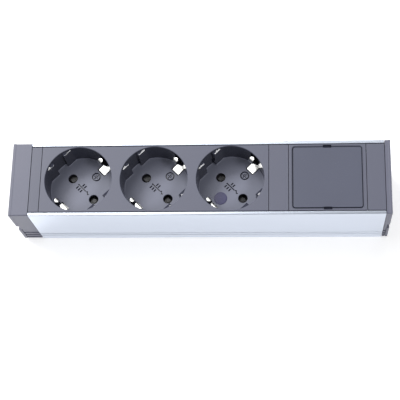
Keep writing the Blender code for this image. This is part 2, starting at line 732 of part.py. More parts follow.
def end_cap(name, x_out, x_in, plate):
    """A cap: outer plate with a finger notch on each side, body, hollow, screw tubes and tongues."""
    way = 1 if x_in > x_out else -1
    x_plate = x_out + way * plate
    x_end = x_in - way * GAP / 2
    cap = slab(name, [cap_outline()], *sorted((x_out, x_plate)))
    body = slab("body_" + name, [cap_body_outline()], *sorted((x_plate - way * 0.0002, x_end)))
    join(cap, body)
    half = CHANNEL_WIDTH / 2 - CAP_WALL - 0.0008
    x_low, x_high = sorted((x_plate + way * 0.0004, x_end + way * 0.002))
    low, high = CAP_LOW + CAP_WALL + 0.0002, CAP_HIGH - CAP_WALL
    cut(cap, box("hollow_" + name, (x_low, -half, low), (x_high, half, high)))
    for side in (-1, 1):
        y_out = CHANNEL_WIDTH / 2
        y_low, y_high = sorted((side * (y_out - CAP_NOTCH_DEEP), side * (y_out + 0.001)))
        x_low, x_high = sorted((x_out - way * 0.001, x_plate + way * 0.0001))
        cut(cap, box("finger_notch", (x_low, y_low, 0.0190), (x_high, y_high, 0.0260)))
        start = (x_plate - way * 0.0002, side * PORT_Y, PORT_Z)
        join(cap, cylinder("screw_tube", SCREW_TUBE_R, start, (x_end, side * PORT_Y, PORT_Z), 20))
        y_low, y_high = sorted((side * 0.0186, side * (INSERT_HALF - 0.0001)))
        x_low, x_high = sorted((x_plate - way * 0.0002, x_end + way * 0.0048))
        join(cap, box("tongue", (x_low, y_low, 0.0270), (x_high, y_high, 0.0350)))
    for side in (-1, 1):
        near = (x_out - way * 0.001, side * PORT_Y, PORT_Z)
        far = (x_end + way * 0.001, side * PORT_Y, PORT_Z)
        sink = (x_out + way * min(0.0019, plate + 0.0004), side * PORT_Y, PORT_Z)
        cut(cap, cylinder("screw_hole", 0.00155, near, far, 16))
        cut(cap, cylinder("head_sink", 0.0030, near, sink, 20))
    return cap


def left_end_cap():
    """The deep cap, with the opening for the mains inlet."""
    cap = end_cap("left_end_cap", X_LEFT, X_CHANNEL, CAP_PLATE)
    y = INLET_Y_HALF + INLET_WALL + GAP
    z = INLET_Z_HALF + INLET_WALL + GAP
    cut(cap, box("inlet_opening", (X_LEFT - 0.001, -y, INLET_Z - z), (X_LEFT + 0.003, y, INLET_Z + z)))
    return finish(manifold(cap), "cap_plastic")


def right_end_cap():
    """The thin, closed cap."""
    cap = end_cap("right_end_cap", X_RIGHT, X_CHANNEL_END, 0.0015)
    return finish(manifold(cap), "cap_plastic")


def cap_screws(cap, x_head, x_tip):
    """Two screws that hold a cap to the ports in the channel's lower corners."""
    for side, place in ((-1, "front"), (1, "back")):
        screw = screw_x("%s_cap_screw_%s" % (cap, place), x_head, x_tip, side * PORT_Y, PORT_Z)
        finish(screw, "zinc_steel")


# Mains inlet --------------------------------------------------------------------------------
def inlet_outline(half_y, half_z, chamfer):
    """A rectangle with its two upper corners cut off."""
    return [
        (-half_y, INLET_Z - half_z),
        (half_y, INLET_Z - half_z),
        (half_y, INLET_Z + half_z - chamfer),
        (half_y - chamfer, INLET_Z + half_z),
        (chamfer - half_y, INLET_Z + half_z),
        (-half_y, INLET_Z + half_z - chamfer),
    ]


def inlet_shroud():
    """A three-pole appliance inlet body, open to the left."""
    outer = inlet_outline(INLET_Y_HALF + INLET_WALL, INLET_Z_HALF + INLET_WALL, 0.0005)
    shroud = slab("inlet_shroud", [outer], X_LEFT + 0.0003, INLET_DEEP + 0.0018)
    collar = box(
        "inlet_collar",
        (X_LEFT + 0.0034, -INLET_Y_HALF - 0.0023, INLET_Z - INLET_Z_HALF - 0.0028),
        (X_LEFT + 0.0046, INLET_Y_HALF + 0.0023, INLET_Z + INLET_Z_HALF + 0.0030),
    )
    join(shroud, collar)
    inner = inlet_outline(INLET_Y_HALF, INLET_Z_HALF, 0.0042)
    cut(shroud, slab("inlet_cavity", [inner], X_LEFT - 0.001, INLET_DEEP))
    for y, z in PINS.values():
        hole = box(
            "inlet_pin_hole",
            (INLET_DEEP - 0.001, y - PIN_HALF_Y - GAP, z - PIN_HALF_Z - GAP),
            (INLET_DEEP + 0.003, y + PIN_HALF_Y + GAP, z + PIN_HALF_Z + GAP),
        )
        cut(shroud, hole)
    return finish(shroud, "inlet_plastic")


def inlet_pin(pole):
    """A flat blade with a tapered nose and a narrow tail behind the inlet's back wall."""
    y, z = PINS[pole]
    nose = X_LEFT + (0.0022 if pole == "earth" else 0.0038)
    neck = INLET_DEEP + 0.0022
    full = PIN_HALF_Z
    thin = PIN_HALF_Z / 2
    lower = [(nose, -0.0012), (nose + 0.0012, -full), (neck, -full), (neck, -thin), (PIN_TAIL, -thin)]
    points = [(x, z + dz) for x, dz in lower]
    points += [(x, z - dz) for x, dz in reversed(lower)]
    return finish(slab("inlet_pin_" + pole, [points], y - PIN_HALF_Y, y + PIN_HALF_Y, "Y"), "nickel")


# Wires --------------------------------------------------------------------------------------
def smooth_run(points, steps=5):
    """Points along a Catmull-Rom curve through the given ones."""
    ends = [points[0]] + points + [points[-1]]
    run = []
    for i in range(1, len(ends) - 2):
        p0, p1, p2, p3 = (Vector(p) for p in ends[i - 1:i + 3])
        for k in range(steps):
            t = k / steps
            run.append(0.5 * (2 * p1 + (p2 - p0) * t + (2 * p0 - 5 * p1 + 4 * p2 - p3) * t * t
                              + (3 * p1 - p0 - 3 * p2 + p3) * t ** 3))
    run.append(Vector(points[-1]))
    return run


def pole_wire(pole, slot, side):
    """The short wire from an inlet pin's tail to its busbar."""
    y, z = PINS[pole]
    x = PIN_TAIL + 2 * GAP
    bar_y = side * PIN_CIRCLE_R * math.sin(PIN_ANGLE)
    low = BUS_Z + BUS_THICK / 2 + GAP + WIRE_R
    points = [(x, y, z), (x + 0.0015, y, z), (x + 0.0045, bar_y, low + 0.0008)]
    points += [(-0.0830, bar_y, low), (-0.0815, bar_y, low)]
    return finish(tube("wire_" + pole, smooth_run(points, 4), WIRE_R, 3), slot)


def earth_wire():
    """The wire from the earth pin's tail to the earth rail's inner side."""
    y, z = PINS["earth"]
    x = PIN_TAIL + 2 * GAP
    end_y = RAIL_Y - RAIL_THICK / 2 - GAP
    over = x + 0.0020
    points = [(x, y, z), (x + 0.0016, y + 0.0006, z), (over, 0.0050, z), (over, 0.0100, z - 0.0006)]
    points += [(over, end_y - 0.0016, 0.0148), (over, end_y, 0.0146)]
    return finish(tube("wire_earth", smooth_run(points, 4), WIRE_R, 3), "wire_green")


def earth_bond():
    """The screw and washer that tie the earth rail to the channel."""
    washer = cylinder("earth_bond_washer", 0.0025, (BOND_X, BOND_Y, 0.0091), (BOND_X, BOND_Y, 0.0097), 20)
    cut(washer, cylinder("washer_hole", 0.0015, (BOND_X, BOND_Y, 0.008), (BOND_X, BOND_Y, 0.011), 16))
    finish(washer, "zinc_steel")
    screw = screw_z("earth_bond_screw", BOND_X, BOND_Y, 0.0127, 0.0052, 0.0022, 0.0011)
    return finish(screw, "zinc_steel")


def test_seal():
    """A plain round film seal on the floor of the last socket."""
    reach = 0.0094
    x = SOCKETS[-1] - reach * math.cos(EARTH_ANGLE)
    y = -reach * math.sin(EARTH_ANGLE)
    low = FLOOR_Z + GAP
    return finish(cylinder("test_seal", 0.0039, (x, y, low), (x, y, low + 0.0002), 24), "seal_film")


# Assembly -----------------------------------------------------------------------------------
def main():
    global PARTS, CUTTERS
    for obj in list(bpy.data.objects):
        bpy.data.objects.remove(obj)
    PARTS = new_collection("desk_power_strip")
    CUTTERS = new_collection("cutters")

    housing_profile()
    left_end_cap()
    right_end_cap()
    cap_screws("left", X_LEFT + 0.0002, X_CHANNEL + 0.0060)
    cap_screws("right", X_RIGHT - 0.0002, X_CHANNEL_END - 0.0120)

    filler("filler_left", X_CHANNEL, X_BLOCK)
    filler("filler_middle", X_BLOCK_END, X_MODULE)
    filler("filler_right", X_MODULE_END, X_CHANNEL_END)
    module_frame()
    blank_cover()

    socket_block_face()
    socket_block_rear()
    block_screws()
    busbar("live_busbar", 1)
    busbar("neutral_busbar", -1)
    earth_rail()
    for i, x in enumerate(SOCKETS):
        earth_clip(i, x)
        shutter(i, x)
        shutter_spring(i, x)
    test_seal()

    inlet_shroud()
    for pole in PINS:
        inlet_pin(pole)
    pole_wire("live", "wire_brown", 1)
    pole_wire("neutral", "wire_blue", -1)
    earth_wire()
    earth_bond()


main()
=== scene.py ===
"""Looks of the desk power strip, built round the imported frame.

Shapes are worked out in millimetres and settled into the frame's metres. +X runs along the strip
from the deep inlet cap to the thin cap, +Y to its back, +Z up out of the sockets.
"""
import logging
import math
from collections.abc import Callable, Iterable, Sequence
from dataclasses import dataclass, field
from enum import Enum

import bmesh
import bpy
from mathutils import Matrix, Vector


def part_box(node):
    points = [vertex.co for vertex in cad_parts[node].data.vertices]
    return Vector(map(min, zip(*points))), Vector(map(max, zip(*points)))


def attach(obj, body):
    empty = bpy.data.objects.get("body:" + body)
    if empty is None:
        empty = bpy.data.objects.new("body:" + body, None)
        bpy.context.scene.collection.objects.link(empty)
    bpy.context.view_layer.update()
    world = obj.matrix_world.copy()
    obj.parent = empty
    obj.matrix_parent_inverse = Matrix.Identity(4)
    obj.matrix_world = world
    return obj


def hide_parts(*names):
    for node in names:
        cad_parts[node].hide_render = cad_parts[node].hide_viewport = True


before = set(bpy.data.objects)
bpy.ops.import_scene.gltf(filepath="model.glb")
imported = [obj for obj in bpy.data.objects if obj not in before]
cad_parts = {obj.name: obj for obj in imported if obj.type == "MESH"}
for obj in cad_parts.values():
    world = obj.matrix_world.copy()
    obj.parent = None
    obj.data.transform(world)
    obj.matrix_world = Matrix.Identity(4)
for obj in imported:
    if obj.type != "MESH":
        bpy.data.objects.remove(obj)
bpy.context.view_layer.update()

MM = 0.001
BASE = "base"
FACE_WEIGHT = 60   # how strongly large faces rule the shading of the edges beside them
WELD = 0.0005      # points closer than this are one, in millimetres
log = logging.getLogger("power_strip")

Point2 = tuple[float, float]
Point3 = Sequence[float]
Outline = list[Point2]


# Frame places -------------------------------------------------------------------------------
def node_box(node: str) -> tuple[Vector, Vector]:
    """Corners of a CAD node in millimetres.

    Args:
        node: The node's name.

    Returns:
        Its lowest and its highest corner.
    """
    low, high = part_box(node)
    return low / MM, high / MM


def node_middle(node: str) -> Vector:
    """Middle of a CAD node's box in millimetres."""
    low, high = node_box(node)
    return (low + high) / 2


# Outlines -----------------------------------------------------------------------------------
def arc(cx: float, cy: float, radius: float, start: float, end: float, steps: int) -> Outline:
    """Points on an arc.

    Args:
        cx: Centre, first axis.
        cy: Centre, second axis.
        radius: Radius.
        start: First angle in radians.
        end: Last angle in radians.
        steps: Number of chords.

    Returns:
        steps + 1 points, both ends included.
    """
    turns = (start + (end - start) * i / steps for i in range(steps + 1))
    return [(cx + radius * math.cos(a), cy + radius * math.sin(a)) for a in turns]


def rounded(corners: Sequence[tuple[float, float, float]], steps: int = 4) -> Outline:
    """A closed outline with its corners rounded.

    Args:
        corners: Corner points with the radius that each is rounded to, 0 for a sharp one.
        steps: Chords in each rounded corner.

    Returns:
        The outline's points.
    """
    points: Outline = []
    count = len(corners)
    for i, (x, y, radius) in enumerate(corners):
        here = Vector((x, y))
        before = Vector(corners[i - 1][:2]) - here
        after = Vector(corners[(i + 1) % count][:2]) - here
        if radius <= 0 or before.length < 1e-6 or after.length < 1e-6:
            points.append((x, y))
            continue
        half = before.angle(after) / 2
        reach = min(radius / math.tan(half), before.length * 0.49, after.length * 0.49)
        radius = reach * math.tan(half)
        centre = here + (before.normalized() + after.normalized()).normalized() * (radius / math.sin(half))
        start = here + before.normalized() * reach - centre
        sweep = start.angle_signed(here + after.normalized() * reach - centre)
        for k in range(steps + 1):
            spoke = start.copy()
            spoke.rotate(Matrix.Rotation(-sweep * k / steps, 2))
            points.append(tuple(centre + spoke))
    return points


def mirrored(corners: Sequence[tuple[float, float, float]]) -> list[tuple[float, float, float]]:
    """A half outline's corners and their mirror image across the first axis."""
    return list(corners) + [(-u, v, r) for u, v, r in reversed(corners)]


def rounded_rectangle(width: float, depth: float, radius: float, steps: int = 6) -> Outline:
    """A rectangle about the origin with rounded corners."""
    u, v = width / 2, depth / 2
    return rounded([(-u, -v, radius), (u, -v, radius), (u, v, radius), (-u, v, radius)], steps)


# Solids -------------------------------------------------------------------------------------
class Axis(Enum):
    """The axis that an outline is extruded along."""

    X = Matrix(((0, 0, 1), (1, 0, 0), (0, 1, 0)))   # outline is (y, z)
    Y = Matrix(((1, 0, 0), (0, 0, -1), (0, 1, 0)))  # outline is (x, z)
    Z = Matrix(((1, 0, 0), (0, 1, 0), (0, 0, 1)))   # outline is (x, y)


class Cut(Enum):
    """What a Boolean does with its second solid."""

    AWAY = "DIFFERENCE"
    ON = "UNION"
    COMMON = "INTERSECT"


def as_object(name: str, bm: bmesh.types.BMesh) -> bpy.types.Object:
    """Put a finished bmesh into a new object with its faces pointing out."""
    bmesh.ops.recalc_face_normals(bm, faces=bm.faces)
    mesh = bpy.data.meshes.new(name)
    bm.to_mesh(mesh)
    bm.free()
    obj = bpy.data.objects.new(name, mesh)
    bpy.context.scene.collection.objects.link(obj)
    return obj


def slab(name: str, outline: Sequence[Point2], low: float, high: float,
         axis: Axis = Axis.X) -> bpy.types.Object:
    """A solid of even thickness.

    Args:
        name: The object's name.
        outline: Closed outline in the plane across the axis.
        low: Where the solid starts on the axis.
        high: Where it ends.
        axis: The axis that it is extruded along.

    Returns:
        The solid.
    """
    if axis is Axis.Y:
        low, high = -high, -low
    bm = bmesh.new()
    rings = [[bm.verts.new(axis.value @ Vector((u, v, w))) for u, v in outline] for w in (low, high)]
    bm.faces.new(rings[0])
    bm.faces.new(rings[1])
    count = len(outline)
    for i in range(count):
        j = (i + 1) % count
        bm.faces.new((rings[0][i], rings[0][j], rings[1][j], rings[1][i]))
    return as_object(name, bm)


def block(name: str, low: Point3, high: Point3) -> bpy.types.Object:
    """A box between two corners."""
    outline = [(low[0], low[1]), (high[0], low[1]), (high[0], high[1]), (low[0], high[1])]
    return slab(name, outline, low[2], high[2], Axis.Z)


def loft(name: str, rings: Sequence[Sequence[Point3]]) -> bpy.types.Object:
    """A closed solid through rings of equal length, capped at both ends."""
    bm = bmesh.new()
    verts = [[bm.verts.new(p) for p in ring] for ring in rings]
    for a, b in zip(verts, verts[1:]):
        for i in range(len(a)):
            j = (i + 1) % len(a)
            bm.faces.new((a[i], a[j], b[j], b[i]))
    bm.faces.new(verts[0])
    bm.faces.new(verts[-1])
    bmesh.ops.remove_doubles(bm, verts=bm.verts, dist=WELD)
    bmesh.ops.dissolve_degenerate(bm, dist=0.0004, edges=bm.edges)
    return as_object(name, bm)


def turned(name: str, profile: Sequence[Point2], place: Point3, along: Point3 = (0, 0, 1),
           segments: int = 32) -> bpy.types.Object:
    """A turned solid.

    Args:
        name: The object's name.
        profile: (radius, height) points from one end of the axis to the other.
        place: Where height 0 is.
        along: The axis's direction.
        segments: Sides round the axis.

    Returns:
        The solid, flat at both ends.
    """
    turn = Vector((0, 0, 1)).rotation_difference(Vector(along)).to_matrix()
    rings = []
    for radius, height in profile:
        circle = arc(0, 0, radius, 0, 2 * math.pi * (segments - 1) / segments, segments - 1)
        rings.append([Vector(place) + turn @ Vector((x, y, height)) for x, y in circle])
    return loft(name, rings)


def bent_strip(name: str, path: Sequence[Point2], widths: Sequence[float], sheet: float,
               edge: float = 0.12) -> bpy.types.Object:
    """A strip of sheet metal bent along a path, with eased edges.

    Args:
        name: The object's name.
        path: The sheet's middle line as (x, z) points.
        widths: The strip's width along Y at each point.
        sheet: The sheet's thickness.
        edge: How far the long edges are eased.

    Returns:
        The strip.
    """
    rings = []
    for i, (x, z) in enumerate(path):
        before = Vector(path[max(i - 1, 0)])
        after = Vector(path[min(i + 1, len(path) - 1)])
        along = (after - before).normalized()
        normal = Vector((-along.y, along.x))
        half, thick = widths[i] / 2, sheet / 2
        ease = min(edge, half * 0.6)
        corners = ((-half, -thick + ease), (-half + ease, -thick), (half - ease, -thick),
                   (half, -thick + ease), (half, thick - ease), (half - ease, thick),
                   (-half + ease, thick), (-half, thick - ease))
        rings.append([(x + normal.x * rise, side, z + normal.y * rise) for side, rise in corners])
    return loft(name, rings)


def evaluated_mesh(obj: bpy.types.Object) -> bpy.types.Mesh:
    """The mesh that an object's modifiers make of it."""
    bpy.context.view_layer.update()
    graph = bpy.context.evaluated_depsgraph_get()
    return bpy.data.meshes.new_from_object(obj.evaluated_get(graph))


def applied(obj: bpy.types.Object) -> bpy.types.Object:
    """Apply all modifiers of a mesh object."""
    mesh = evaluated_mesh(obj)
    obj.modifiers.clear()
    old = obj.data
    obj.data = mesh
    if old.users == 0:
        bpy.data.meshes.remove(old)
    return obj


def combine(target: bpy.types.Object, others: Iterable[bpy.types.Object],
            what: Cut = Cut.AWAY) -> bpy.types.Object:
    """Apply Booleans one after another and remove the solids that were used.

    Args:
        target: The solid that is changed.
        others: The solids that are taken away, added or intersected.
        what: Which of these it is.

    Returns:
        The changed target.
    """
    for other in others:
        modifier = target.modifiers.new("shape", "BOOLEAN")
        modifier.operation = what.value
        modifier.object = other
        modifier.solver = "EXACT"
        applied(target)
        bpy.data.objects.remove(other)
    return target


def beveled(obj: bpy.types.Object, width: float, segments: int = 2,
            angle: float = 35.0) -> bpy.types.Object:
    """Round every edge that is sharper than an angle in degrees."""
    modifier = obj.modifiers.new("round", "BEVEL")
    modifier.width = width
    modifier.segments = segments
    modifier.limit_method = "ANGLE"
    modifier.angle_limit = math.radians(angle)
    modifier.miter_outer = "MITER_ARC"
    modifier.use_clamp_overlap = True
    return applied(obj)


def moved(obj: bpy.types.Object, turn: float = 0.0, place: Point3 = (0, 0, 0)) -> bpy.types.Object:
    """Turn a solid about Z by an angle in radians and then shift it, in its mesh."""
    obj.data.transform(Matrix.Translation(place) @ Matrix.Rotation(turn, 4, "Z"))
    return obj


def joined(name: str, pieces: Sequence[bpy.types.Object]) -> bpy.types.Object:
    """Put several solids into one object without changing them."""
    bm = bmesh.new()
    for piece in pieces:
        bm.from_mesh(piece.data)
        bpy.data.objects.remove(piece)
    return as_object(name, bm)


def settle(obj: bpy.types.Object, finish: "Finish", body: str, nodes: Sequence[str],
           smooth: float = 32.0) -> bpy.types.Object:
    """Finish a piece: metres, shading, material, body and the nodes that it stands for.

    Args:
        obj: The piece, in millimetres.
        finish: What its surface is.
        body: The body that it rides on.
        nodes: The CAD nodes that it replaces.
        smooth: Angle in degrees up to which faces shade as one surface.

    Returns:
        The piece.
    """
    obj.data.transform(Matrix.Scale(MM, 4))
    obj.data.shade_smooth()
    obj.data.set_sharp_from_angle(angle=math.radians(smooth))
    even = obj.modifiers.new("even_shading", "WEIGHTED_NORMAL")
    even.keep_sharp = True
    even.weight = FACE_WEIGHT
    applied(obj)
    obj.data.materials.clear()
    obj.data.materials.append(finish.material())
    obj.data.name = obj.name
    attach(obj, body)
    if nodes:
        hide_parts(*nodes)
    stands_for = ", ".join(nodes) or "itself"
    log.info("%s: %d faces on %s, stands for %s", obj.name, len(obj.data.polygons), body, stands_for)
    return obj


# Node trees ---------------------------------------------------------------------------------
def give(tree: bpy.types.NodeTree, end: bpy.types.NodeSocket, value: object) -> None:
    """Link a socket to a node's input, or set the input to a plain value."""
    if isinstance(value, bpy.types.NodeSocket):
        tree.links.new(value, end)
    else:
        end.default_value = value


# Shader groups ------------------------------------------------------------------------------
class ShaderGroup:
    """A shader node group that is filled in once and placed in many materials."""

    def __init__(self, name: str, inputs: dict[str, float], outputs: Sequence[str]) -> None:
        """Make the group's sockets.

        Args:
            name: The group's name.
            inputs: Value inputs and what they start at, beside the Vector input.
            outputs: Names of its outputs. One called Normal is a vector, the others are values.
        """
        self.tree = bpy.data.node_groups.new(name, "ShaderNodeTree")
        face = self.tree.interface
        face.new_socket("Vector", in_out="INPUT", socket_type="NodeSocketVector")
        for label, value in inputs.items():
            face.new_socket(label, in_out="INPUT", socket_type="NodeSocketFloat").default_value = value
        for label in outputs:
            kind = "NodeSocketVector" if label == "Normal" else "NodeSocketFloat"
            face.new_socket(label, in_out="OUTPUT", socket_type=kind)
        self.start = self.tree.nodes.new("NodeGroupInput")
        self.end = self.tree.nodes.new("NodeGroupOutput")

    def add(self, kind: str, **settings: object) -> bpy.types.Node:
        """Add a node with its settings."""
        node = self.tree.nodes.new(kind)
        for key, value in settings.items():
            setattr(node, key, value)
        return node

    def link(self, start: bpy.types.NodeSocket, end: bpy.types.NodeSocket) -> None:
        """Join two sockets."""
        self.tree.links.new(start, end)

    def math(self, operation: str, a: object, b: object, clamp: bool = False) -> bpy.types.NodeSocket:
        """Add a Math node.

        Args:
            operation: What it works out.
            a: First value, a socket or a number.
            b: Second value, a socket or a number.
            clamp: Whether the result is kept between 0 and 1.

        Returns:
            The result's socket.
        """
        node = self.add("ShaderNodeMath", operation=operation, use_clamp=clamp)
        for socket, value in zip(node.inputs, (a, b)):
            give(self.tree, socket, value)
        return node.outputs[0]

    def noise(self, scale: object, detail: float, stretch: Point3 = (1, 1, 1),
              rough: float = 0.5) -> bpy.types.NodeSocket:
        """Add a noise of the group's Vector.

        Args:
            scale: Its scale, a socket or a number.
            detail: Its octaves.
            stretch: How much finer it is along each axis.
            rough: How strong the fine octaves are.

        Returns:
            The noise's value socket.
        """
        mapping = self.add("ShaderNodeMapping")
        mapping.inputs["Scale"].default_value = stretch
        self.link(self.start.outputs["Vector"], mapping.inputs["Vector"])
        node = self.add("ShaderNodeTexNoise")
        node.inputs["Detail"].default_value = detail
        node.inputs["Roughness"].default_value = rough
        give(self.tree, node.inputs["Scale"], scale)
        self.link(mapping.outputs["Vector"], node.inputs["Vector"])
        return node.outputs["Fac"]

    def bump(self, height: bpy.types.NodeSocket, depth: bpy.types.NodeSocket,
             distance: float) -> bpy.types.NodeSocket:
        """Add a Bump node and return its normal."""
        node = self.add("ShaderNodeBump")
        node.inputs["Distance"].default_value = distance
        self.link(depth, node.inputs["Strength"])
        self.link(height, node.inputs["Height"])
        return node.outputs["Normal"]

    def range(self, value: bpy.types.NodeSocket, low: float, high: float) -> bpy.types.NodeSocket:
        """Map a stretch of a value to 0 to 1."""
        node = self.add("ShaderNodeMapRange", clamp=True)
        node.inputs["From Min"].default_value = low
        node.inputs["From Max"].default_value = high
        self.link(value, node.inputs["Value"])
        return node.outputs["Result"]

    def output(self, label: str, value: bpy.types.NodeSocket) -> None:
        """Give one of the group's outputs its value."""
        self.link(value, self.end.inputs[label])


PIT_DEPTH = 0.00004    # of moulded plastic, in metres
LINE_DEPTH = 0.00002   # of drawn metal, in metres


def moulded_grain() -> bpy.types.NodeTree:
    """Spark-eroded mould texture: fine pits, a slow unevenness of tone and of gloss."""
    group = ShaderGroup("moulded_grain", {"Fineness": 2600.0, "Depth": 0.2, "Mottle": 0.06},
                        ("Tone", "Gloss", "Normal"))
    inputs = group.start.outputs
    pits = group.noise(inputs["Fineness"], 3.0)
    broad = group.noise(38.0, 2.0)
    height = group.math("ADD", pits, group.math("MULTIPLY", broad, 0.15))
    shares = group.math("ADD", group.math("MULTIPLY", broad, 0.7), group.math("MULTIPLY", pits, 0.3))
    swing = group.math("SUBTRACT", shares, 0.5)
    group.output("Tone", group.math("ADD", group.math("MULTIPLY", swing, inputs["Mottle"]), 1.0))
    group.output("Gloss", group.math("MULTIPLY", swing, 0.12))
    group.output("Normal", group.bump(height, inputs["Depth"], PIT_DEPTH))
    return group.tree


def drawn_lines() -> bpy.types.NodeTree:
    """Fine lines along X, as an extruded or rolled metal has."""
    group = ShaderGroup("drawn_lines", {"Fineness": 900.0, "Depth": 0.2}, ("Line", "Cloud", "Normal"))
    inputs = group.start.outputs
    lines = group.noise(inputs["Fineness"], 4.0, (0.012, 1.0, 1.0), 0.65)
    frost = group.noise(5200.0, 2.0)
    height = group.math("ADD", lines, group.math("MULTIPLY", frost, 0.35))
    cloud = group.noise(26.0, 2.0, (0.3, 1.0, 1.0))
    group.output("Line", group.math("SUBTRACT", lines, 0.5))
    group.output("Cloud", group.math("SUBTRACT", cloud, 0.5))
    group.output("Normal", group.bump(height, inputs["Depth"], LINE_DEPTH))
    return group.tree


def handling_wear() -> bpy.types.NodeTree:
    """Faint rubs and settled dust: a mask of short scuffs, and one of specks on faces that look up."""
    group = ShaderGroup("handling_wear", {"Scuffs": 0.3, "Dust": 0.3}, ("Scuff", "Dust"))
    inputs = group.start.outputs
    streaks = group.range(group.noise(260.0, 5.0, (1.0, 0.15, 1.0), 0.7), 0.66, 0.78)
    patches = group.range(group.noise(34.0, 2.0), 0.45, 0.7)
    scuff = group.math("MULTIPLY", group.math("MULTIPLY", streaks, patches), inputs["Scuffs"], clamp=True)
    specks = group.range(group.noise(1500.0, 1.0), 0.70, 0.76)
    facing = group.add("ShaderNodeNewGeometry")
    split = group.add("ShaderNodeSeparateXYZ")
    group.link(facing.outputs["Normal"], split.inputs["Vector"])
    up = group.range(split.outputs["Z"], 0.75, 1.0)
    dust = group.math("MULTIPLY", group.math("MULTIPLY", specks, up), inputs["Dust"], clamp=True)
    group.output("Scuff", scuff)
    group.output("Dust", dust)
    return group.tree


def texture_bands() -> bpy.types.NodeTree:
    """Where a moulding has its spark texture: its face, and a thin level of floor. The rest has a smooth
    polish. The masks also carry painted light: the face's lighter colour is partly painted sheen, the floor
    band's lighter colour is painted light, and below the band the walls, pin holes and engraved marks take
    a dark colour that is partly painted shade.
    """
    group = ShaderGroup("texture_bands", {"Face": 0.0455, "Floor Low": 0.0282, "Floor High": 0.0289},
                        ("Textured", "Floor"))
    inputs = group.start.outputs
    split = group.add("ShaderNodeSeparateXYZ")
    group.link(inputs["Vector"], split.inputs["Vector"])
    height = split.outputs["Z"]
    face = group.math("GREATER_THAN", height, inputs["Face"])
    floor = group.math("MULTIPLY", group.math("GREATER_THAN", height, inputs["Floor Low"]),
                       group.math("LESS_THAN", height, inputs["Floor High"]))
    group.output("Textured", group.math("ADD", face, floor, clamp=True))
    group.output("Floor", floor)
    return group.tree


class Effect(Enum):
    """The shared shader groups."""

    GRAIN = "moulded_grain"
    DRAWN = "drawn_lines"
    WEAR = "handling_wear"
    BANDS = "texture_bands"

    def tree(self) -> bpy.types.NodeTree:
        """The group's tree, built when it is first asked for."""
        makers: dict[Effect, Callable[[], bpy.types.NodeTree]] = {
            Effect.GRAIN: moulded_grain,
            Effect.DRAWN: drawn_lines,
            Effect.WEAR: handling_wear,
            Effect.BANDS: texture_bands,
        }
        return bpy.data.node_groups.get(self.value) or makers[self]()


# Materials ----------------------------------------------------------------------------------
class Dressing:
    """A material's node tree while it is put together round its Principled BSDF."""

    def __init__(self, name: str) -> None:
        """Start a material that reads Object coordinates."""
        self.material = bpy.data.materials.new(name)
        self.material.use_nodes = True
        self.tree = self.material.node_tree
        self.shader = self.tree.nodes["Principled BSDF"]
        self.place = self.tree.nodes.new("ShaderNodeTexCoord").outputs["Object"]

    def effect(self, effect: Effect, **values: float) -> bpy.types.Node:
        """Place a shared group with its own values.

        Args:
            effect: Which group.
            values: Its value inputs.

        Returns:
            The group's node.
        """
        node = self.tree.nodes.new("ShaderNodeGroup")
        node.node_tree = effect.tree()
        self.tree.links.new(self.place, node.inputs["Vector"])
        for label, value in values.items():
            node.inputs[label].default_value = value
        return node

    def tinted(self, colour: Sequence[float], factor: bpy.types.NodeSocket) -> bpy.types.NodeSocket:
        """A plain colour multiplied by a value that varies about 1."""
        node = self.tree.nodes.new("ShaderNodeVectorMath")
        node.operation = "SCALE"
        node.inputs[0].default_value = colour
        self.tree.links.new(factor, node.inputs["Scale"])
        return node.outputs[0]

    def mixed(self, under: object, over: object, mask: bpy.types.NodeSocket) -> bpy.types.NodeSocket:
        """A colour or a number laid over another where a mask says.

        Args:
            under: What shows where the mask is 0: a socket, a colour or a plain number.
            over: What shows where the mask is 1.
            mask: The mask's value.

        Returns:
            The mix's socket.
        """
        node = self.tree.nodes.new("ShaderNodeMix")
        node.data_type = "FLOAT" if isinstance(under, float) else "RGBA"
        self.tree.links.new(mask, node.inputs["Factor"])
        for label, value in (("A", under), ("B", over)):
            give(self.tree, node.inputs[label], (*value, 1.0) if isinstance(value, tuple) else value)
        return node.outputs["Result"]

    def sum(self, base: float, *terms: tuple[bpy.types.NodeSocket, float]) -> bpy.types.NodeSocket:
        """A number plus weighted values."""
        total: bpy.types.NodeSocket | None = None
        for socket, weight in terms:
            node = self.tree.nodes.new("ShaderNodeMath")
            node.operation = "MULTIPLY_ADD"
            node.inputs[1].default_value = weight
            self.tree.links.new(socket, node.inputs[0])
            if total is None:
                node.inputs[2].default_value = base
            else:
                self.tree.links.new(total, node.inputs[2])
            total = node.outputs[0]
        assert total is not None
        return total

    def feed(self, label: str, value: bpy.types.NodeSocket | float) -> None:
        """Give one of the shader's inputs a socket or a number."""
        give(self.tree, self.shader.inputs[label], value)


@dataclass(frozen=True)
class Finish:
    """What every finish has: the record's slot, a colour and a roughness."""

    slot: str
    colour: tuple[float, float, float]
    roughness: float

    def material(self) -> bpy.types.Material:
        """The finish's material, built when it is first asked for."""
        name = self.label()
        return bpy.data.materials.get(name) or self.build(name)

    def label(self) -> str:
        """The material's name."""
        return self.slot + "_finish"

    def build(self, name: str) -> bpy.types.Material:
        """Build the material."""
        raise NotImplementedError


DUST_COLOUR = (0.62, 0.62, 0.64)


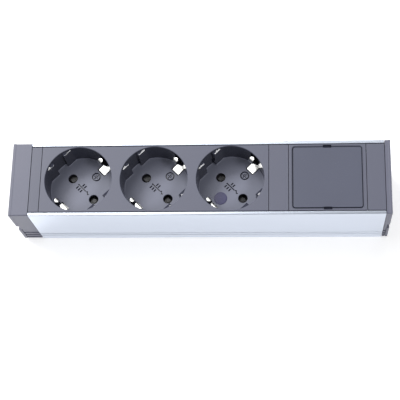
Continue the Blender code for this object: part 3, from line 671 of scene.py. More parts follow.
@dataclass(frozen=True)
class MouldedPlastic(Finish):
    """A moulded plastic with a spark texture; where it has a second, darker colour for its smooth polish,
    it is smooth but for its bands. That darker colour is partly painted shade, and its floor band gets a
    lighter colour that is painted light.
    """

    depth: float = 0.25
    fineness: float = 2600.0
    mottle: float = 0.10
    scuffs: float = 0.35
    dust: float = 0.25
    # Darker colour for the smooth recess walls, holes and engraved marks: partly the plastic's own, partly
    # painted shade.
    shaded_polished_colour: tuple[float, float, float] | None = None
    polished_roughness: float = 0.10
    # Lighter colour for the recess floor band, brighter than the face: painted light on the floor.
    floor_colour: tuple[float, float, float] = (0.190, 0.200, 0.262)

    def build(self, name: str) -> bpy.types.Material:
        """Build the material: grain in tone, gloss and normal, with rubs and dust over it."""
        dressing = Dressing(name)
        grain = dressing.effect(Effect.GRAIN, Fineness=self.fineness, Depth=self.depth, Mottle=self.mottle)
        wear = dressing.effect(Effect.WEAR, Scuffs=self.scuffs, Dust=self.dust)
        toned = dressing.tinted(self.colour, grain.outputs["Tone"])
        gloss = dressing.sum(self.roughness, (grain.outputs["Gloss"], 1.0), (wear.outputs["Scuff"], -0.12))
        if self.shaded_polished_colour is None:
            lighter = tuple(min(1.0, c * 1.5 + 0.03) for c in self.colour)
            rubbed = dressing.mixed(toned, lighter, wear.outputs["Scuff"])
            colour = dressing.mixed(rubbed, DUST_COLOUR, wear.outputs["Dust"])
        else:
            # The band mask paints light and shade: the face colour is partly painted sheen, the floor band
            # is painted light, and the darker colour elsewhere is partly painted shade in the recess.
            bands = dressing.effect(Effect.BANDS)
            textured_sheen_mask = bands.outputs["Textured"]
            floor_painted_light = dressing.mixed(toned, self.floor_colour, bands.outputs["Floor"])
            colour = dressing.mixed(self.shaded_polished_colour, floor_painted_light, textured_sheen_mask)
            gloss = dressing.mixed(self.polished_roughness, gloss, textured_sheen_mask)
            dressing.tree.links.new(dressing.sum(0.02, (textured_sheen_mask, self.depth)), grain.inputs["Depth"])
        dressing.feed("Base Color", colour)
        dressing.feed("Roughness", gloss)
        dressing.feed("Normal", grain.outputs["Normal"])
        dressing.feed("IOR", 1.5)
        return dressing.material


@dataclass(frozen=True)
class WorkedMetal(Finish):
    """A drawn, rolled or plated metal."""

    depth: float = 0.25
    fineness: float = 900.0
    cloud: float = 0.05
    streak: float = 0.10
    scuffs: float = 0.25
    anisotropic: float = 0.0

    def build(self, name: str) -> bpy.types.Material:
        """Build the material: lines along X in tone, gloss and normal, with rubs over them."""
        dressing = Dressing(name)
        drawn = dressing.effect(Effect.DRAWN, Fineness=self.fineness, Depth=self.depth)
        wear = dressing.effect(Effect.WEAR, Scuffs=self.scuffs, Dust=0.12)
        tone = dressing.sum(1.0, (drawn.outputs["Line"], self.streak), (drawn.outputs["Cloud"], self.cloud))
        toned = dressing.tinted(self.colour, tone)
        duller = tuple(c * 0.82 for c in self.colour)
        dressing.feed("Base Color", dressing.mixed(toned, duller, wear.outputs["Scuff"]))
        dressing.feed("Roughness", dressing.sum(
            self.roughness, (drawn.outputs["Line"], 0.18), (wear.outputs["Scuff"], 0.15),
            (wear.outputs["Dust"], 0.3)))
        dressing.feed("Normal", drawn.outputs["Normal"])
        dressing.feed("Metallic", 1.0)
        dressing.feed("Anisotropic", self.anisotropic)
        return dressing.material


@dataclass(frozen=True)
class WireSkin(Finish):
    """Soft wire insulation, with a second colour in bands where it has one."""

    second: tuple[float, float, float] | None = None
    band_scale: float = 60.0

    def build(self, name: str) -> bpy.types.Material:
        """Build the material."""
        dressing = Dressing(name)
        grain = dressing.effect(Effect.GRAIN, Fineness=900.0, Depth=0.08, Mottle=0.08)
        colour = dressing.tinted(self.colour, grain.outputs["Tone"])
        if self.second is not None:
            bands = dressing.tree.nodes.new("ShaderNodeTexWave")
            bands.bands_direction = "DIAGONAL"
            bands.inputs["Scale"].default_value = self.band_scale
            dressing.tree.links.new(dressing.place, bands.inputs["Vector"])
            step = dressing.tree.nodes.new("ShaderNodeMapRange")
            step.inputs["From Min"].default_value = 0.45
            step.inputs["From Max"].default_value = 0.55
            dressing.tree.links.new(bands.outputs["Fac"], step.inputs["Value"])
            colour = dressing.mixed(colour, self.second, step.outputs["Result"])
        dressing.feed("Base Color", colour)
        dressing.feed("Roughness", dressing.sum(self.roughness, (grain.outputs["Gloss"], 1.0)))
        dressing.feed("Normal", grain.outputs["Normal"])
        return dressing.material


ALUMINIUM = WorkedMetal("anodised_aluminium", (0.64, 0.69, 0.785), 0.34, depth=0.2, cloud=0.04, streak=0.05,
                        anisotropic=0.35)
# The insert's lighter face colour is partly painted sheen, and its dark colour for the smooth recess walls,
# holes and engraved marks is partly painted shade.
INSERT = MouldedPlastic("graphite_plastic", (0.122, 0.128, 0.174), 0.46, shaded_polished_colour=(0.036, 0.039, 0.062))
COVER = MouldedPlastic("cover_plastic", (0.090, 0.098, 0.142), 0.48, mottle=0.14, scuffs=0.15, dust=0.06)
CAP = MouldedPlastic("cap_plastic", (0.142, 0.147, 0.200), 0.44, scuffs=0.15, dust=0.05)
CARRIER = MouldedPlastic("carrier_plastic", (0.60, 0.60, 0.56), 0.5, depth=0.12)
SHUTTER = MouldedPlastic("shutter_plastic", (0.014, 0.014, 0.017), 0.26, depth=0.03, scuffs=0.1, dust=0.05)
INLET = MouldedPlastic("inlet_plastic", (0.022, 0.022, 0.026), 0.38, depth=0.15)
BRASS = WorkedMetal("spring_brass", (0.80, 0.60, 0.30), 0.26, fineness=1500.0, cloud=0.12)
NICKEL = WorkedMetal("nickel", (0.90, 0.90, 0.88), 0.24, fineness=1500.0, depth=0.12, scuffs=0.4)
ZINC = WorkedMetal("zinc_steel", (0.72, 0.74, 0.77), 0.28, fineness=1400.0, cloud=0.15)
SEAL = MouldedPlastic("seal_film", (0.060, 0.058, 0.135), 0.34, depth=0.03, fineness=500.0, mottle=0.12)
WIRE_LIVE = WireSkin("wire_brown", (0.14, 0.06, 0.03), 0.38)
WIRE_NEUTRAL = WireSkin("wire_blue", (0.03, 0.10, 0.42), 0.38)
WIRE_EARTH = WireSkin("wire_green", (0.10, 0.36, 0.06), 0.38, second=(0.85, 0.70, 0.08))


# Geometry Nodes -----------------------------------------------------------------------------
class NodeShape:
    """A Geometry Nodes tree with named inputs that is run once and turned into a plain mesh."""

    def __init__(self, name: str, sizes: dict[str, float], counts: dict[str, int] | None = None) -> None:
        """Make the tree's sockets.

        Args:
            name: The tree's name.
            sizes: Length, angle and ratio inputs.
            counts: Whole-number inputs.
        """
        self.tree = bpy.data.node_groups.new(name, "GeometryNodeTree")
        face = self.tree.interface
        face.new_socket("Geometry", in_out="OUTPUT", socket_type="NodeSocketGeometry")
        face.new_socket("Geometry", in_out="INPUT", socket_type="NodeSocketGeometry")
        face.new_socket("Material", in_out="INPUT", socket_type="NodeSocketMaterial")
        for label in sizes:
            face.new_socket(label, in_out="INPUT", socket_type="NodeSocketFloat")
        for label in counts or {}:
            face.new_socket(label, in_out="INPUT", socket_type="NodeSocketInt")
        self.values = {**sizes, **(counts or {})}
        self.start = self.tree.nodes.new("NodeGroupInput")
        self.end = self.tree.nodes.new("NodeGroupOutput")

    def add(self, kind: str, settings: dict[str, object] | None = None, **inputs: object) -> bpy.types.Node:
        """Add a node.

        Args:
            kind: The node's type.
            settings: Its properties.
            inputs: Values or sockets for its inputs, with _ for a space in their names.

        Returns:
            The node.
        """
        node = self.tree.nodes.new(kind)
        for key, value in (settings or {}).items():
            setattr(node, key, value)
        for label, value in inputs.items():
            give(self.tree, node.inputs[label.replace("_", " ")], value)
        return node

    def given(self, label: str) -> bpy.types.NodeSocket:
        """The socket of one of the tree's own inputs."""
        return self.start.outputs[label]

    def math(self, operation: str, a: object, b: object) -> bpy.types.NodeSocket:
        """Add a Math node and return its result."""
        node = self.add("ShaderNodeMath", {"operation": operation})
        for socket, value in zip(node.inputs, (a, b)):
            give(self.tree, socket, value)
        return node.outputs[0]

    def point(self, x: object = 0.0, y: object = 0.0, z: object = 0.0) -> bpy.types.NodeSocket:
        """Add a Combine XYZ node and return its vector."""
        return self.add("ShaderNodeCombineXYZ", None, X=x, Y=y, Z=z).outputs[0]

    def raised(self, geometry: bpy.types.Node, z: object, **more: object) -> bpy.types.Node:
        """Add a Transform node that moves a node's geometry along Z.

        Args:
            geometry: The node whose first output is moved.
            z: How far, a socket or a number.
            more: Further inputs of the Transform.

        Returns:
            The Transform node.
        """
        return self.add("GeometryNodeTransform", None, Geometry=geometry.outputs[0],
                        Translation=self.point(z=z), **more)

    def feed_all(self, nodes: Sequence[bpy.types.Node], end: bpy.types.NodeSocket) -> None:
        """Link the first output of each node to one input that takes many."""
        for node in nodes:
            self.tree.links.new(node.outputs[0], end)

    def close(self, geometry: bpy.types.NodeSocket) -> None:
        """End the tree in Realize Instances and Set Material."""
        real = self.add("GeometryNodeRealizeInstances", None, Geometry=geometry)
        paint = self.add("GeometryNodeSetMaterial", None, Geometry=real.outputs[0],
                         Material=self.given("Material"))
        self.tree.links.new(paint.outputs[0], self.end.inputs["Geometry"])

    def run(self, name: str, base: bpy.types.ID, material: bpy.types.Material) -> bpy.types.Object:
        """Run the tree on some data.

        Args:
            name: Name of the new object.
            base: The mesh or curve that the tree starts from.
            material: The material that the tree sets.

        Returns:
            A plain mesh object.
        """
        obj = bpy.data.objects.new(name, base)
        bpy.context.scene.collection.objects.link(obj)
        modifier = obj.modifiers.new("shape", "NODES")
        modifier.node_group = self.tree
        sockets = {s.name: s.identifier for s in self.tree.interface.items_tree if s.in_out == "INPUT"}
        modifier[sockets["Material"]] = material
        for label, value in self.values.items():
            modifier[sockets[label]] = value
        mesh = evaluated_mesh(obj)
        bpy.data.objects.remove(obj)
        bm = bmesh.new()
        bm.from_mesh(mesh)
        bmesh.ops.remove_doubles(bm, verts=bm.verts, dist=WELD)
        return as_object(name, bm)


def point_cloud(name: str, points: Sequence[Point3]) -> bpy.types.Mesh:
    """A mesh of loose points for a tree to stand instances on."""
    mesh = bpy.data.meshes.new(name)
    mesh.from_pydata([tuple(p) for p in points], [], [])
    return mesh


def section_curve(name: str, outline: Sequence[Point2]) -> bpy.types.Curve:
    """A closed flat curve for a tree to sweep."""
    curve = bpy.data.curves.new(name, "CURVE")
    curve.dimensions = "3D"
    spline = curve.splines.new("POLY")
    spline.points.add(len(outline) - 1)
    for point, (u, v) in zip(spline.points, outline):
        point.co = (u, v, 0.0, 1.0)
    spline.use_cyclic_u = True
    return curve


# Channel ------------------------------------------------------------------------------------
SCREW_PORT = (17.9, 5.4)   # (y, z) of the long screws that hold the end caps


@dataclass
class Channel:
    """The aluminium extrusion that carries everything."""

    wall: float = 2.0
    corner: float = 2.4
    groove_heights: tuple[float, float] = (8.2, 11.6)
    groove_half: float = 0.4
    groove_depth: float = 0.5
    port: tuple[float, float, float] = (*SCREW_PORT, 1.5)
    port_slit: float = 0.7
    port_inner: float = 14.8
    port_top: float = 8.8
    snap: tuple[float, float, float] = (40.1, 43.0, 0.7)

    def section(self) -> Outline:
        """The extrusion's section as (y, z) points."""
        low, high = node_box("housing_profile")
        half, top = high.y, high.z
        inner = half - self.wall
        y, z, r = self.port
        mouth = math.asin(self.port_slit / r)
        corners = [(half, low.z, self.corner)]
        for height in self.groove_heights:
            sunk, slant = half - self.groove_depth, self.groove_half * 0.5
            for u, v in ((half, height - self.groove_half), (sunk, height - slant),
                         (sunk, height + slant), (half, height + self.groove_half)):
                corners.append((u, v, 0.08))
        corners += [(half, top, 0.45), (inner, top, 0.3), (inner, self.snap[1], 0.15)]
        corners += [(inner + self.snap[2], self.snap[1], 0.1), (inner + self.snap[2], self.snap[0], 0.1)]
        corners += [(inner, self.snap[0], 0.15), (inner, self.port_top, 0.4),
                    (self.port_inner, self.port_top, 0.3)]
        corners += [(self.port_inner, z + self.port_slit, 0.1)]
        corners += [(u, v, 0.0) for u, v in arc(y, z, r, math.pi - mouth, mouth - math.pi, 22)]
        corners += [(self.port_inner, z - self.port_slit, 0.1), (self.port_inner, self.wall, 0.4)]
        return rounded(mirrored(corners), 4)

    def sweep_tree(self, start: float, end: float) -> NodeShape:
        """A tree that sweeps a closed section from one X to another."""
        shape = NodeShape("channel_sweep", {"Start": start, "End": end})
        line = shape.add("GeometryNodeCurvePrimitiveLine", None, Start=shape.point(x=shape.given("Start")),
                         End=shape.point(x=shape.given("End")))
        sweep = shape.add("GeometryNodeCurveToMesh", None, Curve=line.outputs[0],
                          Profile_Curve=shape.given("Geometry"), Fill_Caps=True)
        shape.close(sweep.outputs[0])
        return shape

    def build(self) -> None:
        """Make the channel with its bond hole and eased sawn ends."""
        low, high = node_box("housing_profile")
        curve = section_curve("channel_section", [(-u, -v) for u, v in self.section()])
        channel = self.sweep_tree(low.x, high.x).run("channel", curve, ALUMINIUM.material())
        beveled(channel, 0.22, 2, 60)
        bond = node_middle("earth_bond_screw")
        hole = turned("bond_hole", [(1.4, 0), (1.4, 6)], (bond.x, bond.y, 4.2))
        settle(combine(channel, [hole]), ALUMINIUM, BASE, ["housing_profile"])


# Inserts ------------------------------------------------------------------------------------
@dataclass
class InsertSection:
    """The section that every clip-in insert shares."""

    face: float
    half: float
    plate: float = 2.5
    leg: float = 1.6
    leg_low: float = 37.0
    bead: float = 0.7
    bead_span: tuple[float, float] = (40.4, 42.7)
    edge: float = 0.35
    bead_flat: float = 0.9

    def outline(self, leg: float | None = None) -> Outline:
        """Face plate, two legs and their snap beads, as (y, z) points.

        Args:
            leg: Thickness of the legs, the usual one if it is left out.

        Returns:
            The outline.
        """
        leg = leg or self.leg
        low, high = self.bead_span
        out = self.half + self.bead
        corners = [(self.half, self.face, self.edge), (self.half, high, 0.1), (out, high, 0.15),
                   (out, high - self.bead_flat, 0.15)]
        corners += [(self.half, low, 0.1), (self.half, self.leg_low, 0.25),
                    (self.half - leg, self.leg_low, 0.2), (self.half - leg, self.face - self.plate, 0.3)]
        return rounded(mirrored(corners), 4)


def insert_section() -> InsertSection:
    """The shared section, at the size that the frame gives."""
    high = node_box("filler_middle")[1]
    return InsertSection(face=high.z, half=high.y - InsertSection.bead)


@dataclass
class Fillers:
    """The three narrow blank inserts."""

    nodes: tuple[str, ...] = ("filler_left", "filler_middle", "filler_right")
    edge: float = 0.22

    def build(self) -> None:
        """Make one insert for each filler node."""
        outline = insert_section().outline()
        for node in self.nodes:
            low, high = node_box(node)
            piece = slab(node.replace("filler", "blank_filler"), outline, low.x, high.x)
            settle(beveled(piece, self.edge, 2, 50), INSERT, BASE, [node])


# Sockets ------------------------------------------------------------------------------------
EARTH_PLACE = 10.8   # from the socket's axis to the earth sign
EARTH_STEM = ((0.0, -1.5), (0.55, -1.5), (0.55, -0.3), (1.75, -0.3), (1.75, 0.3), (0.55, 0.3),
              (0.55, 1.5), (0.0, 1.5))
EARTH_BARS = ((-0.6, 0.9), (-1.45, 0.4))   # place and half length of the two short bars
RATING_LINE = (-4.4, 2.2)
RATING_TICKS = ((-1.6, 1.75), (0.0, 1.75), (-3.4, -1.85), (-1.7, -1.85), (0.0, -1.85))
BLOCK_SCREWS = tuple("block_screw_%d" % i for i in range(1, 5))


@dataclass
class Recess:
    """The hollow of one socket, as a solid to be cut out of the face moulding."""

    radius: float = 19.95
    depth: float = 17.5
    flat: float = 17.3
    flat_drop: float = 1.3
    notch: float = 3.65
    rim: float = 0.45
    guide_slope: float = 0.3
    guide_edge: tuple[Point2, ...] = ((0.85, 0.0), (0.08, 0.36), (0.02, 0.44), (0.0, 0.6))
    floor_edge: float = 0.6
    inside: float = 0.002
    pin_circle: float = 9.5
    pin_hole: float = 2.8
    pin_edge: tuple[Point2, ...] = ((0.0, -2.5), (0.0, -0.35), (0.12, -0.12), (0.38, 0.02), (0.6, 0.5))
    pin_angle: float = math.radians(135)
    earth_angle: float = math.radians(45)
    slot_inner: float = 14.4
    slot_outer: float = 22.4
    slot_half: float = 3.1
    slot_top: float = 1.5
    slot_below: float = 2.5
    engraving: float = 1.05
    bar_half: float = 0.25
    stroke: float = 0.8
    sign_radius: float = 2.35

    def angles(self, grown: float, radius: float) -> list[float]:
        """Angles of a ring's points, with one at every corner of the guides.

        Args:
            grown: How far the flats and notches stand back from their nominal place.
            radius: The round part's radius.

        Returns:
            Angles in radians round the pin axis, the same number whatever the sizes.
        """
        a = math.asin((self.notch + grown) / radius)
        b = math.atan2(self.notch + grown, self.flat + grown)
        c = math.acos(min(0.999, (self.flat + grown) / radius))
        quarter: list[float] = []
        for low, high, steps in ((0.0, a, 3), (a, b, 2), (b, c, 7), (c, math.pi / 2, 16)):
            quarter += [low + (high - low) * i / steps for i in range(steps)]
        half = quarter + [math.pi - q for q in [math.pi / 2, *reversed(quarter[1:])]]
        return half + [math.pi + q for q in half]

    def ring(self, z: float, radius: float, grown: float | None) -> list[Point3]:
        """One ring of the hollow's wall.

        Args:
            z: Its height.
            radius: The round part's radius.
            grown: How far the guides stand back, or None above them, where the ring is round.

        Returns:
            The ring's points about the socket's axis, turned to the pin axis.
        """
        points = []
        for angle in self.angles(grown or 0.0, radius):
            reach = radius
            if grown is not None:
                flat = (self.flat + grown) / max(1e-6, abs(math.cos(angle)))
                notch = (self.notch + grown) / max(1e-6, abs(math.sin(angle)))
                reach = min(radius, max(flat, notch))
            turn = angle + self.pin_angle
            points.append((reach * math.cos(turn), reach * math.sin(turn), z))
        return points

    def hollow(self, face: float) -> bpy.types.Object:
        """The recess itself: eased rim, round mouth, guides with sloped tops, and a filleted floor."""
        rings = [self.ring(face + 1.0, self.radius + self.rim * 1.6, None)]
        for k in range(6):
            t = math.radians(8 + 82 * k / 5)
            out = self.rim * (1 - math.sin(t))
            rings.append(self.ring(face + 0.02 - self.rim * (1 - math.cos(t)), self.radius + out, None))
        ledge = face - self.flat_drop
        rings.append(self.ring(ledge + self.guide_slope, self.radius, None))
        for back, drop in self.guide_edge:
            rings.append(self.ring(ledge - drop, self.radius - self.inside, back))
        floor = face - self.depth
        for k in range(6):
            t = math.radians(90 * k / 5)
            inset = self.floor_edge * (1 - math.cos(t))
            height = floor + self.floor_edge * (1 - math.sin(t))
            rings.append(self.ring(height, self.radius - self.inside - inset, -inset))
        return loft("recess", rings)

    def fittings(self, face: float) -> list[bpy.types.Object]:
        """The pin holes and clip slots, each a solid to be cut out."""
        floor = face - self.depth
        cutters = []
        for side in (0, math.pi):
            turn = self.pin_angle + side
            place = (self.pin_circle * math.cos(turn), self.pin_circle * math.sin(turn), floor)
            profile = [(self.pin_hole + out, rise) for out, rise in self.pin_edge]
            cutters.append(turned("pin_hole", profile, place, segments=40))
            middle, length = (self.slot_inner + self.slot_outer) / 2, self.slot_outer - self.slot_inner
            outline = [(u + middle, v) for u, v in rounded_rectangle(length, 2 * self.slot_half, 0.5, 3)]
            slot = slab("clip_slot", outline, floor - self.slot_below, face - self.slot_top, Axis.Z)
            cutters.append(moved(slot, self.earth_angle + side))
        return cutters

    def marks(self, face: float) -> bpy.types.Object:
        """Engraved signs on the floor: the earth sign, and plain bars with a wave where the rating goes."""
        # The grooves reach below the floor band of the texture mask, so they take the dark colour there:
        # painted shade in the grooves.
        low, high = face - self.depth - self.engraving, face - self.depth + 0.5
        half = self.stroke / 2
        ring = self.sign_radius
        outer = turned("ring", [(ring + half, 0), (ring + half, high - low)], (0, 0, low), segments=36)
        inner = turned("ring_inner", [(ring - half, -0.2), (ring - half, high - low + 0.2)], (0, 0, low),
                       segments=36)
        signs = [combine(outer, [inner]), slab("stem", EARTH_STEM, low, high, Axis.Z)]
        for x, reach in EARTH_BARS:
            signs.append(block("bar", (x - self.bar_half, -reach, low), (x + self.bar_half, reach, high)))
        earth = moved(joined("earth_sign", signs), 0.0, (-EARTH_PLACE, 0.0, 0.0))
        earth = moved(earth, self.earth_angle + math.pi)
        ticks = [block("line", (RATING_LINE[0], -half, low), (RATING_LINE[1], half, high))]
        for u, v in RATING_TICKS:
            ticks.append(block("tick", (u - half, v - 1.0, low), (u + half, v + 1.0, high)))
        wave = [(2.5 + 2.6 * i / 12, 0.5 * math.sin(2 * math.pi * i / 12)) for i in range(13)]
        upper = [(u, v + half) for u, v in wave]
        lower = [(u, v - half) for u, v in reversed(wave)]
        ticks.append(slab("wave", lower + upper, low, high, Axis.Z))
        rating = moved(joined("rating_sign", ticks), self.pin_angle + math.pi)
        return joined("marks", [earth, rating])


@dataclass
class SocketBlock:
    """The one-piece face moulding with its three sockets."""

    recess: Recess = field(default_factory=Recess)
    cup_wall: float = 1.25
    floor_thick: float = 1.5
    leg: float = 0.6
    post_radius: float = 1.2
    boss_radius: float = 2.7
    boss_low: float = 26.0
    pilot: tuple[float, float, float] = (1.4, 14, 21)
    pocket_outer: float = 23.3
    pocket_half: float = 4.0
    pocket_roof: float = 1.02

    def centres(self) -> list[float]:
        """X of each socket's axis."""
        return [node_middle("shutter_%d" % (i + 1)).x for i in range(3)]

    def build(self) -> None:
        """Make the moulding."""
        section = insert_section()
        low, high = node_box("socket_block_face")
        face = high.z
        moulding = slab("socket_face", section.outline(leg=self.leg), low.x, high.x)
        beveled(moulding, 0.2, 2, 60)
        cup_low = face - self.recess.depth - self.floor_thick
        cup_radius = self.recess.radius + self.cup_wall
        for x in self.centres():
            profile = [(cup_radius, 0), (cup_radius, face - 0.8 - cup_low)]
            cup = turned("cup", profile, (x, 0, cup_low), segments=96)
            trim = block("trim", (x - 30, -section.half, 0), (x + 30, section.half, 60))
            profile = [(self.post_radius - 0.2, 0), (self.post_radius, 0.3), (self.post_radius, 6)]
            post = turned("post", profile, (x, 0, low.z), segments=20)
            combine(moulding, [combine(cup, [trim], Cut.COMMON), post], Cut.ON)
        radius, length, pilot_low = self.pilot
        for node in BLOCK_SCREWS:
            spot = node_middle(node)
            profile = [(self.boss_radius, 0), (self.boss_radius, face - 1.2 - self.boss_low)]
            boss = turned("boss", profile, (spot.x, spot.y, self.boss_low), segments=24)
            combine(moulding, [boss], Cut.ON)
            profile = [(radius, 0), (radius, length)]
            combine(moulding, [turned("pilot", profile, (spot.x, spot.y, pilot_low), segments=20)])
        for x in self.centres():
            for side in (0, math.pi):
                pocket = block("pocket", (self.recess.slot_inner + 4, -self.pocket_half, cup_low + 0.02),
                               (self.pocket_outer, self.pocket_half, face - self.pocket_roof))
                combine(moulding, [moved(pocket, self.recess.earth_angle + side, (x, 0, 0))], Cut.ON)
        for x in self.centres():
            cutters = [self.recess.hollow(face), *self.recess.fittings(face), self.recess.marks(face)]
            combine(moulding, [moved(c, 0.0, (x, 0, 0)) for c in cutters])
        settle(moulding, INSERT, BASE, ["socket_block_face"], 34)


@dataclass
class EarthClips:
    """The bright U-shaped earth springs, one in each socket."""

    sheet: float = 0.6
    width: float = 5.2
    finger: float = 2.9
    under: float = 26.4
    base: float = 27.7
    arm: float = 21.3
    taper: tuple[float, float] = (36.4, 1.6)
    tip_above: float = 40
    tip_round: float = 1.2
    turn: float = math.radians(45)

    def path(self) -> tuple[list[Point2], list[float]]:
        """Half of the strip from the middle outwards and up to the fingertip, with its widths."""
        corners = [(0.0, self.under, 0.0), (14.8, self.under, 0.35), (15.1, self.base, 0.35),
                   (self.arm, self.base + 1.0, 0.9), (self.arm, 31.5, 1.2), (16.1, 41.6, 1.2),
                   (17.0, 43.7, 1.4), (18.9, 44.0, 0.0)]
        line = rounded(corners, 6)
        points: list[Point2] = []
        widths: list[float] = []
        for (ax, az), (bx, bz) in zip(line, line[1:]):
            steps = max(1, round(math.hypot(bx - ax, bz - az) / 0.7))
            for k in range(steps):
                points.append((ax + (bx - ax) * k / steps, az + (bz - az) * k / steps))
        points.append(line[-1])
        tip = points[-1]
        start, length = self.taper
        for x, z in points:
            fade = min(1.0, max(0.0, (z - start) / length))
            width = self.width + (self.finger - self.width) * fade * fade * (3 - 2 * fade)
            left = math.hypot(x - tip[0], z - tip[1])
            if z > self.tip_above and left < self.tip_round:
                width *= math.sqrt(max(0.16, 1 - ((self.tip_round - left) / 1.25) ** 2))
            widths.append(width)
        return points, widths

    def build(self, centres: Sequence[float]) -> None:
        """Make one clip for each socket."""
        points, widths = self.path()
        path = [(-x, z) for x, z in reversed(points[1:])] + points
        both = list(reversed(widths[1:])) + widths
        for i, x in enumerate(centres):
            clip = bent_strip("earth_spring_%d" % (i + 1), path, both, self.sheet)
            hole = turned("post_hole", [(1.7, -2), (1.7, 2)], (0, 0, self.under), segments=24)
            combine(clip, [hole])
            settle(moved(clip, self.turn, (x, 0, 0)), NICKEL, BASE, ["earth_clip_%d" % (i + 1)], 40)


LEAD_IN = ((1.2, 0.0), (6.0, 0.0), (6.0, -1.7))   # slope that a pin turns the rotor by
LEAD_IN_SPAN = (4.6, 14.6)                        # its start and end along the rotor
BUTTON = ((1.45, -0.1), (1.4, 0.3), (1.28, 0.42), (0.1, 0.44))   # low button on each lobe


@dataclass
class Shutters:
    """The two-lobed safety shutters and their torsion springs."""

    lobe: float = 3.7
    hub: float = 3.4
    arm: float = 1.7
    reach: float = 9.5
    bore: float = 1.5
    turn: float = math.radians(135)

    def outline(self) -> Outline:
        """Two lobes and a hub on one line, as (x, y) points."""
        at_lobe, at_hub = math.asin(self.arm / self.lobe), math.asin(self.arm / self.hub)
        points = arc(self.reach, 0, self.lobe, at_lobe - math.pi, math.pi - at_lobe, 32)
        points += arc(0, 0, self.hub, at_hub, math.pi - at_hub, 14)
        points += arc(-self.reach, 0, self.lobe, at_lobe, 2 * math.pi - at_lobe, 32)
        points += arc(0, 0, self.hub, math.pi + at_hub, 2 * math.pi - at_hub, 14)
        return points

    def spring_tree(self) -> NodeShape:
        """A tree that winds a coil with a square-ended wire on each point it is given."""
        shape = NodeShape("coil_spring", {
            "Coil Radius": 2.2, "Wire Radius": 0.2, "Height": 1.25, "Turns": 2.25,
        })
        coil = shape.add("GeometryNodeCurveSpiral", None, Resolution=28, Rotations=shape.given("Turns"),
                         Start_Radius=shape.given("Coil Radius"), End_Radius=shape.given("Coil Radius"),
                         Height=shape.given("Height"))
        wire = shape.add("GeometryNodeCurvePrimitiveCircle", None, Resolution=8,
                         Radius=shape.given("Wire Radius"))
        swept = shape.add("GeometryNodeCurveToMesh", None, Curve=coil.outputs[0],
                          Profile_Curve=wire.outputs[0], Fill_Caps=True)
        stand = shape.add("GeometryNodeInstanceOnPoints", None, Points=shape.given("Geometry"),
                          Instance=swept.outputs[0])
        shape.close(stand.outputs[0])
        return shape

    def build(self, centres: Sequence[float]) -> None:
        """Make the shutters, and all the springs as one piece."""
        low, high = node_box("shutter_1")
        for i, x in enumerate(centres):
            rotor = slab("pin_shutter_%d" % (i + 1), self.outline(), low.z, high.z, Axis.Z)
            beveled(rotor, 0.25, 3, 50)
            cutters = [turned("bore", [(self.bore, -5), (self.bore, 5)], (0, 0, low.z), segments=32)]
            for side in (0, math.pi):
                slope = slab("slope", LEAD_IN, *LEAD_IN_SPAN, Axis.X)
                slope.data.transform(Matrix.Translation((0, 0, high.z + 0.01)))
                cutters.append(moved(slope, side))
            combine(rotor, cutters)
            for way in (-1, 1):
                combine(rotor, [turned("button", BUTTON, (way * self.reach, 0, high.z))], Cut.ON)
            settle(moved(rotor, self.turn, (x, 0, 0)), SHUTTER, "shutter_rotor_%d" % (i + 1),
                   ["shutter_%d" % (i + 1)])
        springs = ["shutter_spring_%d" % (i + 1) for i in range(len(centres))]
        floor = node_box(springs[0])[0].z + 0.2
        cloud = point_cloud("spring_places", [(x, 0, floor) for x in centres])
        settle(self.spring_tree().run("shutter_springs", cloud, ZINC.material()), ZINC, BASE, springs, 50)


